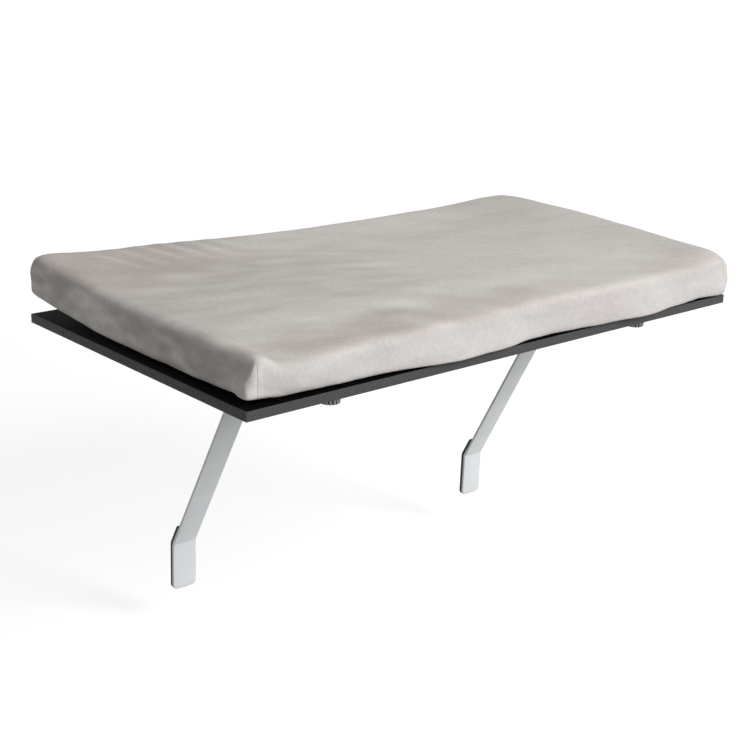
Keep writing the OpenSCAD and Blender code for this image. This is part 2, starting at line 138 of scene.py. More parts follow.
hang_lamp("front_lamp", (1.42, -3.45, 2.1), 1.8, 152)
hang_lamp("side_lamp", (1.5, -0.3, 1.5), 1.0, 5)
hang_lamp("left_lamp", (-2.4, -0.9, 0.7), 1.6, 4)

world = bpy.data.worlds.new("surround")
scene.world = world
world.use_nodes = True
world_light = world.node_tree.nodes["Background"]
world_light.inputs["Color"].default_value = (1, 1, 1, 1)
world_strength = between(world, seen(world), surround_strength, 1, 0, 1)
world.node_tree.links.new(world_strength, world_light.inputs["Strength"])


# Floor
# A plain white floor below the feet. Only what a camera or a reflection sees of it is
# brightened, so it reads as white paper that still takes the perch's soft shadow.
floor_drop = 0.04
floor_half_width = 30
floor_white = (0.4, 0.4, 0.4, 1)
near_glow = 0.76
far_glow = 0.95
near_edge = 1.0
far_edge = 5.0


def start(name, add_primitive, **sizes):
    """A primitive, added with nothing else selected."""
    bpy.ops.object.select_all(action="DESELECT")
    add_primitive(**sizes)
    piece = bpy.context.object
    piece.name = piece.data.name = name
    return piece


def spot_on(material):
    """A place on the piece, in metres."""
    return place(material, "ShaderNodeTexCoord").outputs["Object"]


floor = start("floor", bpy.ops.mesh.primitive_plane_add, size=2 * floor_half_width,
              location=(0, 0, cad_box[0][2] - floor_drop))
paper = bpy.data.materials.new("floor_paper")
paper.use_nodes = True
paper.node_tree.nodes.clear()
reach = place(paper, "ShaderNodeVectorMath", {0: spot_on(paper)}, operation="LENGTH").outputs["Value"]
paper_glow = between(paper, reach, near_glow, far_glow, near_edge, far_edge)
glow_strength = reckon(paper, "MULTIPLY", paper_glow, seen(paper))
glow = place(paper, "ShaderNodeEmission", {"Strength": glow_strength}).outputs[0]
matt = place(paper, "ShaderNodeBsdfDiffuse", {"Color": floor_white}).outputs[0]
both = place(paper, "ShaderNodeAddShader", {0: matt, 1: glow}).outputs[0]
place(paper, "ShaderNodeOutputMaterial", {"Surface": both})
floor.data.materials.append(paper)


# Board
# A sheet of 9 mm fibreboard with a dead black laminate on both faces. The holes for the
# tee nuts and the two sill screws are drilled through it, so their walls are bare brown fibre.
def sockets_of(material):
    """The inputs of a material's shader."""
    return material.node_tree.nodes["Principled BSDF"].inputs


def new_material(name, colour, roughness, metal=0.0, specular=0.5):
    """A principled material with the plain values that hold all over the surface."""
    material = bpy.data.materials.new(name)
    material.use_nodes = True
    sockets_of(material)["Base Color"].default_value = (*colour, 1)
    sockets_of(material)["Roughness"].default_value = roughness
    sockets_of(material)["Metallic"].default_value = metal
    sockets_of(material)["Specular IOR Level"].default_value = specular
    return material


def speckle(material, scale, detail=3.0):
    """A noise pattern fixed to the piece. Scale is in spots to the metre."""
    return place(material, "ShaderNodeTexNoise", {
        "Vector": spot_on(material), "Scale": scale, "Detail": detail, "Distortion": 0}).outputs[0]


def tint(material, amount, first, second):
    """Goes from one colour to another by a pattern."""
    mix = place(material, "ShaderNodeMix", data_type="RGBA")
    material.node_tree.links.new(amount, mix.inputs["Factor"])
    for socket, colour in zip([s for s in mix.inputs if s.type == "RGBA"], (first, second)):
        if isinstance(colour, bpy.types.NodeSocket):
            material.node_tree.links.new(colour, socket)
        else:
            socket.default_value = (*colour, 1)
    return [s for s in mix.outputs if s.type == "RGBA"][0]


def paint(material, amount, first, second):
    """Colours the surface from one colour to another by a pattern."""
    material.node_tree.links.new(tint(material, amount, first, second), sockets_of(material)["Base Color"])


def roughen(material, pattern, low, high):
    """Varies how dull the surface is."""
    material.node_tree.links.new(between(material, pattern, low, high), sockets_of(material)["Roughness"])


def emboss(material, height, depth, strength=1.0):
    """Bump of a depth in metres, laid over the bump that the surface already has."""
    bump = place(material, "ShaderNodeBump", {"Height": height, "Distance": depth, "Strength": strength})
    normal = sockets_of(material)["Normal"]
    if normal.is_linked:
        material.node_tree.links.new(normal.links[0].from_socket, bump.inputs["Normal"])
    material.node_tree.links.new(bump.outputs[0], normal)


def coat(node_name, material):
    """Gives a node of the frame its finish."""
    for slot in nodes[node_name].material_slots:
        slot.material = material


laminate = new_material("black_laminate", (0.0045, 0.0045, 0.005), 0.62, specular=0.03)
fibre = tint(laminate, speckle(laminate, 900), (0.19, 0.115, 0.06), (0.27, 0.175, 0.1))
scuffs = between(laminate, speckle(laminate, 14, 6))
scuffed = tint(laminate, scuffs, (0.0036, 0.0036, 0.004), (0.0055, 0.0055, 0.006))
board_facing = place(laminate, "ShaderNodeTexCoord").outputs["Normal"]
board_upright = place(laminate, "ShaderNodeSeparateXYZ", {0: board_facing}).outputs["Z"]
on_a_face = reckon(laminate, "GREATER_THAN", reckon(laminate, "ABSOLUTE", board_upright), 0.5)
paint(laminate, on_a_face, fibre, scuffed)
roughen(laminate, speckle(laminate, 30, 5), 0.61, 0.65)
emboss(laminate, speckle(laminate, 1500, 2), 0.00012, 0.5)
emboss(laminate, speckle(laminate, 420, 4), 0.0001, 0.3)
coat("board", laminate)


# Edge bands
# Four strips of black plastic edging, 0.8 mm thick, glued round the board with hot melt and
# trimmed flush, then broken along their corners. Their pearl grain is shinier than the faces.
banding = new_material("edge_banding", (0.07, 0.07, 0.072), 0.55, specular=0.1)
paint(banding, between(banding, speckle(banding, 700)), (0.052, 0.052, 0.053), (0.096, 0.097, 0.1))
roughen(banding, speckle(banding, 260, 4), 0.48, 0.64)
emboss(banding, speckle(banding, 900), 0.00012, 0.6)
for band in ("front_edge_band", "rear_edge_band", "left_edge_band", "right_edge_band"):
    coat(band, banding)


# Tee nuts
# Four pronged steel nuts, stamped and zinc plated, pressed into the board from above.
zinc = new_material("bright_zinc", (0.62, 0.63, 0.64), 0.32, metal=1.0)
paint(zinc, between(zinc, speckle(zinc, 350, 4)), (0.5, 0.51, 0.53), (0.68, 0.68, 0.67))
roughen(zinc, speckle(zinc, 600, 4), 0.26, 0.42)
emboss(zinc, speckle(zinc, 2500, 2), 0.00003, 0.5)
coat("tee_nuts", zinc)


# Brackets
# Each is one 28 x 3 mm steel strap, sheared with rounded ends, punched twice for its studs,
# bent at the foot and under the board, and powder coated a cool light grey-white.
strap_width = 0.028
strap_thickness = 0.003
strap_end_radius = 0.0055
strap_hole_radius = 0.00325
punch_length = 0.02
foot_length = 0.050
bend_radius = 0.004
knob_to_bend = 0.0234
strap_edge_round = 0.0009
bend_steps = 8
hair = 0.0001
merge_distance = 0.00001
nearly_all = 0.999


def middle_of(node_name):
    low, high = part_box(node_name)
    return (low + high) / 2


def select_only(piece):
    """Makes a piece the only one that the next operator works on."""
    bpy.ops.object.select_all(action="DESELECT")
    piece.select_set(True)
    bpy.context.view_layer.objects.active = piece


def edit(piece):
    select_only(piece)
    bpy.ops.object.mode_set(mode="EDIT")


def stop_editing():
    bpy.ops.object.mode_set(mode="OBJECT")


def pick_all():
    bpy.ops.mesh.select_all(action="SELECT")


def pick(piece, kind, passes):
    """Selects the vertices, edges or faces that pass a test, and nothing else."""
    bpy.ops.mesh.select_mode(type=kind)
    bpy.ops.mesh.select_all(action="DESELECT")
    shape = bmesh.from_edit_mesh(piece.data)
    for part in {"VERT": shape.verts, "EDGE": shape.edges, "FACE": shape.faces}[kind]:
        if passes(part):
            part.select_set(True)
    shape.select_flush_mode()
    bmesh.update_edit_mesh(piece.data)


def round_picked(piece, radius, segments, passes):
    """Rounds the edges that pass a test."""
    pick(piece, "EDGE", passes)
    bpy.ops.mesh.bevel(offset=radius, segments=segments, affect="EDGES")


def extrude(move):
    bpy.ops.mesh.extrude_region_move(TRANSFORM_OT_translate={"value": move})


def edge_middle(edge):
    return (edge.verts[0].co + edge.verts[1].co) / 2


def edge_runs(edge, axis):
    """True of an edge that lies along one axis."""
    along = edge.verts[1].co - edge.verts[0].co
    return abs(along[axis]) > nearly_all * along.length


def settle(piece):
    """Puts place, turn and size into the mesh, so that the piece's own origin is the frame's."""
    if bpy.context.mode != "OBJECT":
        stop_editing()
    select_only(piece)
    bpy.ops.object.transform_apply(location=True, rotation=True, scale=True)


def face_outwards(piece):
    edit(piece)
    pick_all()
    bpy.ops.mesh.remove_doubles(threshold=merge_distance)
    bpy.ops.mesh.normals_make_consistent(inside=False)
    stop_editing()


def apply_modifier(piece, kind, **settings):
    select_only(piece)
    modifier = piece.modifiers.new(kind.lower(), kind)
    for key, value in settings.items():
        setattr(modifier, key, value)
    bpy.ops.object.modifier_apply(modifier=modifier.name)


def smooth(piece, angle=30):
    select_only(piece)
    bpy.ops.object.shade_smooth_by_angle(angle=math.radians(angle))


def round_edges(piece, width, segments=3, angle=30):
    """Breaks every sharp edge of a piece and shades it smooth between them."""
    apply_modifier(piece, "BEVEL", width=width, segments=segments, limit_method="ANGLE",
                   angle_limit=math.radians(angle), harden_normals=False, use_clamp_overlap=True)
    smooth(piece, angle)


def finish_with(piece, material):
    piece.data.materials.clear()
    piece.data.materials.append(material)


def start_strap(name, x, near_y, far_y, up_slope):
    """The flat section at the foot's bottom, drawn up the foot, round its bend and up the slope."""
    piece = start(name, bpy.ops.mesh.primitive_plane_add, size=1,
                  location=(x, (near_y + far_y) / 2, foot_bottom_z))
    edit(piece)
    bpy.ops.transform.resize(value=(strap_width, far_y - near_y, 1))
    extrude((0, 0, foot_length))
    bpy.ops.mesh.spin(steps=bend_steps, angle=-lean, center=(x, foot_bend.y, foot_bend.z), axis=(1, 0, 0))
    extrude(Vector((0, -math.sin(lean), math.cos(lean))) * up_slope)
    return piece


def round_foot(piece):
    """Rounds the two lower corners of a foot."""
    edit(piece)
    round_picked(piece, strap_end_radius, 8,
                 lambda e: edge_runs(e, 1) and edge_middle(e).z < foot_bottom_z + hair)


strap_low, strap_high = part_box("left_bracket")
foot_bottom_z = strap_low.z
foot_back_y = strap_high.y
foot_face_y = foot_back_y - strap_thickness
foot_bend = Vector((0, foot_face_y - bend_radius, foot_bottom_z + foot_length))
flange_bend = Vector((0, middle_of("left_rear_knob").y + knob_to_bend,
                      strap_high.z - strap_thickness - bend_radius))
lean = math.atan2(foot_bend.y - flange_bend.y, flange_bend.z - foot_bend.z)
slope_length = (flange_bend - foot_bend).length

powder = new_material("white_powder_coat", (0.79, 0.82, 0.825), 0.42)
paint(powder, between(powder, speckle(powder, 40, 4)), (0.77, 0.8, 0.806), (0.81, 0.838, 0.842))
roughen(powder, speckle(powder, 300), 0.36, 0.5)
emboss(powder, speckle(powder, 520, 2), 0.00022, 0.35)
emboss(powder, speckle(powder, 2400, 2), 0.00004, 0.4)

for side in ("left", "right"):
    strap_x = middle_of(side + "_bracket").x
    bracket = start_strap(side + "_strap", strap_x, foot_face_y, foot_back_y, slope_length)
    bpy.ops.mesh.spin(steps=bend_steps, angle=lean - math.radians(90),
                      center=(strap_x, flange_bend.y, flange_bend.z), axis=(1, 0, 0))
    extrude((0, strap_low.y - flange_bend.y, 0))
    settle(bracket)
    face_outwards(bracket)
    round_foot(bracket)
    round_picked(bracket, strap_end_radius, 8,
                 lambda e: edge_runs(e, 2) and edge_middle(e).y < strap_low.y + hair)
    stop_editing()
    for row in ("front", "rear"):
        hole = middle_of(f"{side}_{row}_washer")
        punch = start("punch", bpy.ops.mesh.primitive_cylinder_add, vertices=48, radius=strap_hole_radius,
                      depth=punch_length, location=(hole.x, hole.y, strap_high.z))
        apply_modifier(bracket, "BOOLEAN", operation="DIFFERENCE", solver="EXACT", object=punch)
        bpy.data.objects.remove(punch)
    round_edges(bracket, strap_edge_round)
    finish_with(bracket, powder)
    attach(bracket, "perch")
    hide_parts(side + "_bracket")


# Foot pads
# Strips of black rubber, a little narrower than the strap, glued behind each foot and a little
# way up behind the slope, so that the steel never touches the wall.
pad_wrap = 0.022
pad_edge_round = 0.0004
pad_narrower = 0.96
rubber = new_material("black_rubber", (0.022, 0.022, 0.023), 0.75)
paint(rubber, between(rubber, speckle(rubber, 200, 5)), (0.016, 0.016, 0.017), (0.035, 0.034, 0.035))
roughen(rubber, speckle(rubber, 500), 0.62, 0.85)
emboss(rubber, speckle(rubber, 1600), 0.0001, 0.6)

for side in ("left", "right"):
    pad_x = middle_of(side + "_foot_pad").x
    pad = start_strap(side + "_rubber_pad", pad_x, foot_back_y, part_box(side + "_foot_pad")[1].y, pad_wrap)
    settle(pad)
    for vertex in pad.data.vertices:
        vertex.co.x += (pad_x - vertex.co.x) * (1 - pad_narrower)
    face_outwards(pad)
    round_foot(pad)
    stop_editing()
    round_edges(pad, pad_edge_round)
    finish_with(pad, rubber)
    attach(pad, "perch")
    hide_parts(side + "_foot_pad")


# Washers
# Plain zinc-plated washers between the knobs and the straps, their stamped edges rounded over.
washer_hole_radius = 0.0032
washer_edge_round = 0.0002
washer_low, washer_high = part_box("left_front_washer")
washer_radius = (washer_high.x - washer_low.x) / 2
knob_spots = ("left_front", "left_rear", "right_front", "right_rear")


def copy_of(piece, name, move=Matrix()):
    """A copy of a piece with a mesh of its own, moved or turned."""
    copy = bpy.data.objects.new(name, piece.data.copy())
    copy.data.transform(move)
    scene.collection.objects.link(copy)
    return copy


def lies_flat(face):
    return abs(face.normal.z) > 0.9


def put_at_knobs(first, part, new_part, rides=None):
    """Puts a copy of the left front piece at each knob, in place of the frame's own, and drops the first."""
    for spot in knob_spots:
        name = f"{spot}_{part}"
        to_here = Matrix.Translation(middle_of(name) - middle_of("left_front_" + part))
        piece = copy_of(first, f"{spot}_{new_part}", to_here)
        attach(piece, f"{spot}_{rides or part}")
        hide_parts(name)
    bpy.data.objects.remove(first)


first_washer = start("washer", bpy.ops.mesh.primitive_cylinder_add, vertices=64, radius=washer_radius,
                     depth=washer_high.z - washer_low.z, location=(washer_low + washer_high) / 2)
edit(first_washer)
pick(first_washer, "FACE", lies_flat)
bpy.ops.mesh.inset(thickness=washer_radius - washer_hole_radius)
bpy.ops.mesh.bridge_edge_loops()
settle(first_washer)
round_edges(first_washer, washer_edge_round, 2)
finish_with(first_washer, zinc)
put_at_knobs(first_washer, "washer", "flat_washer")


# Knobs
# Injection-moulded dark grey hand knobs, 22 mm across with 16 deep slots, a dished end
# and a boss that bears on the washer. Each is moulded round the head of its M6 stud.
lobes = 16
lobe_sides = 8
knob_sides = lobes * lobe_sides
slot_floor_radius = 0.0094
slot_wall_radius = 0.0096
slot_floor_end = 0.5
slot_end = 1.5
slot_shade_until = 1.7
rim_round = 0.0014
rim_steps = 4
slim = 0.9
slim_height = 0.0022
flare_height = 0.0018
boss_radius = 0.007
boss_height = 0.002
bearing_gap = 0.00003
stud_radius = 0.003
dish_radius = 0.007
dish_depth = 0.0006
knob_edge_round = 0.00025
knob_low, knob_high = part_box("left_front_knob")
knob_middle = (knob_low + knob_high) / 2
grip_radius = (knob_high.x - knob_low.x) / 2
grip_top_z = knob_high.z - boss_height


def slot_part(co):
    """0 at the middle of a slot, up to half a lobe's sides at the middle of a lobe."""
    turn = math.atan2(co.y, co.x) / (2 * math.pi) * knob_sides
    return abs((turn + lobe_sides / 2) % lobe_sides - lobe_sides / 2)


def grow_cap(rise, scale=1):
    """Draws the selected cap up by a rise and in or out by a scale, about the knob's axis."""
    extrude((0, 0, rise))
    bpy.ops.transform.resize(value=(scale, scale, 1), center_override=(0, 0, 0))


def start_ring(piece, radius):
    """Draws the selected cap's rim to a round ring in its own plane."""
    extrude((0, 0, 0))
    shape = bmesh.from_edit_mesh(piece.data)
    for vertex in shape.verts:
        if vertex.select:
            vertex.co.xy = vertex.co.xy.normalized() * radius
    bmesh.update_edit_mesh(piece.data)


first_knob = start("knob", bpy.ops.mesh.primitive_circle_add, vertices=knob_sides,
                   radius=(grip_radius - rim_round) * slim, fill_type="NGON")
edit(first_knob)
shape = bmesh.from_edit_mesh(first_knob.data)
for vertex in shape.verts:
    part = slot_part(vertex.co)
    if part < slot_end:
        vertex.co *= (slot_floor_radius if part < slot_floor_end else slot_wall_radius) / grip_radius
bmesh.update_edit_mesh(first_knob.data)
bpy.ops.mesh.select_mode(type="FACE")
pick_all()
rim_turns = [math.radians(90 * i / rim_steps) for i in range(rim_steps + 1)]
rim_radii = [grip_radius - rim_round + rim_round * math.sin(turn) for turn in rim_turns]
rim_rises = [rim_round * (1 - math.cos(turn)) for turn in rim_turns]
for i in range(rim_steps):
    grow_cap(rim_rises[i + 1] - rim_rises[i], rim_radii[i + 1] / rim_radii[i])
grow_cap(slim_height)
grow_cap(flare_height, 1 / slim)
grow_cap(grip_top_z - knob_low.z - 2 * rim_round - slim_height - flare_height)
for i in range(rim_steps, 0, -1):
    grow_cap(rim_rises[i] - rim_rises[i - 1], rim_radii[i - 1] / rim_radii[i])
start_ring(first_knob, boss_radius)
grow_cap(boss_height - bearing_gap)
bpy.ops.mesh.inset(thickness=boss_radius - stud_radius)
extrude((0, 0, -boss_height / 2))
pick(first_knob, "FACE", lambda f: lies_flat(f) and f.calc_center_median().z < merge_distance)
start_ring(first_knob, dish_radius)
grow_cap(dish_depth, 1 - dish_depth / dish_radius)
settle(first_knob)
face_outwards(first_knob)
round_edges(first_knob, knob_edge_round, 2, 35)
# Painted shade: each point is marked 0 in the slots and 1 on the lobes, so that the slots are painted near
# black as the shade deep inside them.
unshaded_lobe = first_knob.data.attributes.new(name="unshaded_lobe", type="FLOAT", domain="POINT")
for vertex in first_knob.data.vertices:
    unshaded_lobe.data[vertex.index].value = 0.0 if slot_part(vertex.co) < slot_shade_until else 1.0
first_knob.data.transform(Matrix.Translation((knob_middle.x, knob_middle.y, knob_low.z)))

moulded = new_material("moulded_grey", (0.16, 0.16, 0.165), 0.38)
# The lobes are painted a lighter grey than the plastic, partly as painted highlight.
lobe_tint_with_highlight = tint(moulded, between(moulded, speckle(moulded, 500)), (0.35, 0.35, 0.355), (0.43, 0.43, 0.435))
unshaded_lobe_share = place(moulded, "ShaderNodeAttribute", attribute_name="unshaded_lobe").outputs["Fac"]
paint(moulded, unshaded_lobe_share, (0.008, 0.008, 0.008), lobe_tint_with_highlight)
roughen(moulded, speckle(moulded, 900), 0.26, 0.4)
emboss(moulded, speckle(moulded, 3500, 2), 0.00003, 0.5)
finish_with(first_knob, moulded)
put_at_knobs(first_knob, "knob", "hand_knob")


# Studs
# M6 steel studs with a rolled thread of 1 mm pitch. The thread is one helix, cut square at
# the boss and chamfered at its tip.
pitch = 0.001
thread_root_radius = 0.00245
crest_half_width = 0.00008
thread_steps = 28
tip_share = 0.8
stud_top_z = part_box("left_front_stud")[1].z
thread_from_z = knob_high.z - boss_height / 2
turns = math.ceil((stud_top_z - thread_from_z) / pitch) + 2
profile = bpy.data.meshes.new("thread_profile")
profile.from_pydata(
    [(thread_root_radius, 0, 0), (stud_radius, 0, pitch / 2 - crest_half_width),
     (stud_radius, 0, pitch / 2 + crest_half_width), (thread_root_radius, 0, pitch)],
    [(0, 1), (1, 2), (2, 3)], [])
first_stud = bpy.data.objects.new("thread", profile)
scene.collection.objects.link(first_stud)
apply_modifier(first_stud, "SCREW", angle=math.radians(360), screw_offset=pitch, iterations=turns,
               steps=thread_steps, render_steps=thread_steps, axis="Z", use_merge_vertices=True,
               merge_threshold=merge_distance)
first_stud.data.transform(Matrix.Translation((0, 0, thread_from_z - pitch)))
edit(first_stud)
for cut_z, facing in ((thread_from_z, -1), (stud_top_z, 1)):
    pick_all()
    bpy.ops.mesh.bisect(plane_co=(0, 0, cut_z), plane_no=(0, 0, facing), use_fill=True, clear_outer=True)
pick(first_stud, "VERT", lambda v: v.co.z > stud_top_z - merge_distance)
bpy.ops.transform.resize(value=(tip_share, tip_share, 1), center_override=(0, 0, stud_top_z))
stop_editing()
face_outwards(first_stud)
smooth(first_stud, 40)
finish_with(first_stud, zinc)
first_stud.data.transform(Matrix.Translation((knob_middle.x, knob_middle.y, 0)))
put_at_knobs(first_stud, "stud", "threaded_stud", rides="knob")


# Seat tapes
# Two strips of hook tape stuck to the board and two of loop tape sewn under the pad, so that
# the pad can be lifted off for washing. The hooks stand in rows, and the loops are a soft fuzz.
strip_depth = 0.050
strip_corner = 0.004
hook_backing = 0.0005
hook_pitch = 0.0021
hook_wire = 0.00016
loop_backing = 0.0006
loop_pitch = 0.0018
loop_scatter = 0.0005
tape_edge_round = 0.0002
weave_scale = 330
rng = random.Random(7)


def start_box(name, low, high):
    """A solid between two corners."""
    piece = start(name, bpy.ops.mesh.primitive_cube_add, size=1, location=(low + high) / 2)
    edit(piece)
    bpy.ops.transform.resize(value=tuple(high - low))
    settle(piece)
    return piece


def round_upright_edges(piece, radius, segments):
    """Rounds the corners of a solid as they are seen from above."""
    edit(piece)
    round_picked(piece, radius, segments, lambda e: edge_runs(e, 2))
    stop_editing()


def start_wire(name, stations, width):
    """A thin square wire through a few stations in the XZ plane, drawn from its foot."""
    piece = start(name, bpy.ops.mesh.primitive_plane_add, size=width,
                  location=(stations[0][0], 0, stations[0][1]))
    edit(piece)
    for here, there in zip(stations, stations[1:]):
        extrude((there[0] - here[0], 0, there[1] - here[1]))
    settle(piece)
    return piece


def join_to(piece, others):
    """Makes pieces one mesh with a piece, which keeps its name."""
    select_only(piece)
    for other in others:
        other.select_set(True)
    if others:
        bpy.ops.object.join()


def sow(piece, seed_piece, places):
    """Joins one copy of a small mesh to a piece at each place, turned by its angle."""
    join_to(piece, [copy_of(seed_piece, "sown", Matrix.Translation(spot) @ Matrix.Rotation(turn, 4, "Z"))
                    for spot, turn in places])


def threads(material, direction):
    """The ridges of the threads that run one way."""
    return place(material, "ShaderNodeTexWave", {
        "Vector": spot_on(material), "Scale": weave_scale, "Distortion": 0.4},
        bands_direction=direction).outputs["Fac"]


def tape_halves(node_name):
    """The boxes of the two strips that one node holds, the front strip first."""
    low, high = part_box(node_name)
    return ((low, Vector((high.x, low.y + strip_depth, high.z))),
            (Vector((low.x, high.y - strip_depth, low.z)), high))


def grid_places(low, high, pitch, z, jitter, turn_by):
    """Places in rows over a strip, a pitch apart and in from its edge."""
    places = []
    rows = int((high.y - low.y) / pitch) - 1
    columns = int((high.x - low.x) / pitch) - 1
    for row in range(rows):
        for column in range(columns):
            x = low.x + pitch * (column + 1) + rng.uniform(-jitter, jitter)
            y = low.y + pitch * (row + 1) + rng.uniform(-jitter, jitter)
            places.append((Vector((x, y, z)), turn_by()))
    return places


def make_tape(name, strips, low_z, high_z, material):
    """The backing of a tape that one node holds as one strip or two."""
    parts = []
    for low, high in strips:
        part = start_box(name, Vector((low.x, low.y, low_z)), Vector((high.x, high.y, high_z)))
        round_upright_edges(part, strip_corner, 6)
        round_edges(part, tape_edge_round, 2)
        parts.append(part)
    join_to(parts[0], parts[1:])
    finish_with(parts[0], material)
    return parts[0]


woven = new_material("woven_nylon", (0.018, 0.018, 0.019), 0.7)
weave = reckon(woven, "MULTIPLY", threads(woven, "X"), threads(woven, "Y"))
paint(woven, weave, (0.01, 0.01, 0.011), (0.035, 0.035, 0.037))
roughen(woven, speckle(woven, 800), 0.6, 0.85)
emboss(woven, weave, 0.00012, 0.7)

fuzz = new_material("brushed_nylon", (0.03, 0.03, 0.032), 0.9)
sockets_of(fuzz)["Sheen Weight"].default_value = 0.4
paint(fuzz, speckle(fuzz, 900), (0.02, 0.02, 0.021), (0.055, 0.055, 0.058))
roughen(fuzz, speckle(fuzz, 500), 0.8, 0.95)
emboss(fuzz, speckle(fuzz, 2500, 2), 0.0002, 0.8)

hook_strips = tape_halves("seat_hook_tapes")
hook_low_z, hook_high_z = hook_strips[0][0].z, hook_strips[0][1].z
hook_foot_z = hook_low_z + hook_backing
hook_rise = hook_high_z - hook_foot_z
one_hook = start_wire("hook", (
    (0, 0), (0, hook_rise * 0.6), (0.0002, hook_rise - hook_wire), (0.0005, hook_rise - hook_wire * 1.2),
    (0.0006, hook_rise * 0.55)), hook_wire * 2)
hook_tapes = make_tape("board_hook_tapes", hook_strips, hook_low_z, hook_foot_z, woven)
for low, high in hook_strips:
    sow(hook_tapes, one_hook,
        grid_places(low, high, hook_pitch, hook_foot_z, 0, lambda: rng.choice((0, math.pi))))
bpy.data.objects.remove(one_hook)
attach(hook_tapes, "perch")
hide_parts("seat_hook_tapes")

loop_strips = tape_halves("seat_loop_tapes")
loop_low_z, loop_high_z = loop_strips[0][0].z, loop_strips[0][1].z
loop_foot_z = loop_high_z - loop_backing
loop_rise = loop_foot_z - loop_low_z
one_loop = start_wire("loop", (
    (0, 0), (0.0001, -loop_rise * 0.7), (0.0006, -loop_rise * 0.95), (0.0011, -loop_rise * 0.7),
    (0.0012, 0)), hook_wire)
loop_tapes = make_tape("pad_loop_tapes", loop_strips, loop_foot_z, loop_high_z, fuzz)
for low, high in loop_strips:
    sow(loop_tapes, one_loop,
        grid_places(low, high, loop_pitch, loop_foot_z, loop_scatter, lambda: rng.uniform(0, 2 * math.pi)))
bpy.data.objects.remove(one_loop)
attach(loop_tapes, "cushion")
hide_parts("seat_loop_tapes")


# Sill tapes
# One strip of loop tape stuck to the sill and one of hook tape stuck under the board. They
# stay shut while the perch is up, so only their edges and the fuzz between them show.
for node_name, name, cloth_kind, slot_name in (("sill_loop_tape", "sill_loop_strip", fuzz, "loop_tape"),
                                               ("sill_hook_tape", "sill_hook_strip", woven, "hook_tape")):
    low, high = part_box(node_name)
    sill_strip = make_tape(name, ((low, high),), low.z, high.z, cloth_kind)
    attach(sill_strip, "perch")
    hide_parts(node_name)


# Foam core
# One slab of cream upholstery foam, 41 mm high with its cover on, its cut edges softened by
# the cover. Its two rear corners have curled up off the board. It is closed in on all sides.
# A pair below is where a form starts and where it is full, or a hump's middle and half width.
foam_gap = 0.0018
foam_voxel = 0.008
foam_share = 0.985
hem_inset = 0.0153
pad_thickness = 0.041
pad_corner_radius = 0.018
pad_top_round = 0.011
pad_hem_round = 0.006
pad_draw_in = 0.003
pull_share = 0.4
rear_fullness = 0.0034
rear_left_fullness = 0.003
right_end_fullness = 0.0035
front_slump = 0.0083
left_slump = 0.0036
right_corner_slump = 0.0042
left_curl = 0.019
left_curl_from = -0.060
left_curl_run = 0.266
left_curl_front_y = -0.060
right_curl = 0.0085
right_curl_from = 0.100
right_curl_run = 0.226
right_curl_y = (-0.270, -0.030)
rear_full_y = (0.005, 0.080)
left_spent_x = (-0.190, -0.250)
right_spent_x = (0.280, 0.320)
rear_left_hump_x = (-0.140, 0.200)
right_end_full_x = (0.200, 0.300)
right_end_full_y = (0.080, 0.020)
firm_hump_x = (0.045, 0.070)
left_slump_hump_x = (-0.235, 0.130)
right_end_x = (0.262, 0.317)
left_end_x = (-0.285, -0.319)
right_corner_x = (0.240, 0.285)
right_corner_y = (-0.230, -0.256)
front_fall_y = (-0.165, -0.250)
base_low, base_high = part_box("cushion_base")
board_rear_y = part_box("rear_edge_band")[1].y
pad_under_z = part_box("seat_loop_tapes")[1].z
pad_middle = Vector(((base_low.x + base_high.x) / 2, (base_low.y + base_high.y) / 2, pad_under_z))
pad_half = Vector(((base_high.x - base_low.x) / 2 + hem_inset, (base_high.y - base_low.y) / 2 + hem_inset, 0))
pad_left_x = pad_middle.x - pad_half.x
pad_right_x = pad_middle.x + pad_half.x
pad_front_y = pad_middle.y - pad_half.y
pad_rear_y = pad_middle.y + pad_half.y


def unit(t):
    return min(1.0, max(0.0, t))


def ease(t, start, end):
    """A smooth change from 0 at the start to 1 at the end, whichever of the two is higher."""
    share = unit((t - start) / (end - start))
    return share * share * (3 - 2 * share)


def bump_at(t, middle, half_width):
    """A smooth hump of height 1 over a stretch."""
    away = abs(t - middle) / half_width
    return math.cos(math.pi / 2 * away) ** 2 if away < 1 else 0.0


def curl(x, y):
    """How far the pad has curled up off the board at a place on it."""
    to_rear = unit((y - left_curl_front_y) / (board_rear_y - left_curl_front_y))
    left = unit((left_curl_from - x) / left_curl_run) ** 1.3 * to_rear ** 2
    right = unit((x - right_curl_from) / right_curl_run) ** 2 * ease(y, *right_curl_y)
    return left_curl * left + right_curl * right


def top_fullness(x, y):
    """How far the top stands above or below its flat level, where the filling is full or spent."""
    rear = ease(y, *rear_full_y)
    spent = 0.9 * ease(x, *left_spent_x) + 0.7 * ease(x, *right_spent_x)
    full = rear_fullness * rear * (1 - spent)
    full += rear_left_fullness * rear * bump_at(x, *rear_left_hump_x)
    full += right_end_fullness * ease(x, *right_end_full_x) * ease(y, *right_end_full_y)
    slump = front_slump * (1 - 0.25 * bump_at(x, *firm_hump_x))
    slump += left_slump * bump_at(x, *left_slump_hump_x)
    slump *= (1 - ease(x, *right_end_x)) * (1 - 0.9 * ease(x, *left_end_x))
    right_corner = right_corner_slump * ease(x, *right_corner_x) * ease(y, *right_corner_y)
    return full - slump * ease(y, *front_fall_y) - right_corner


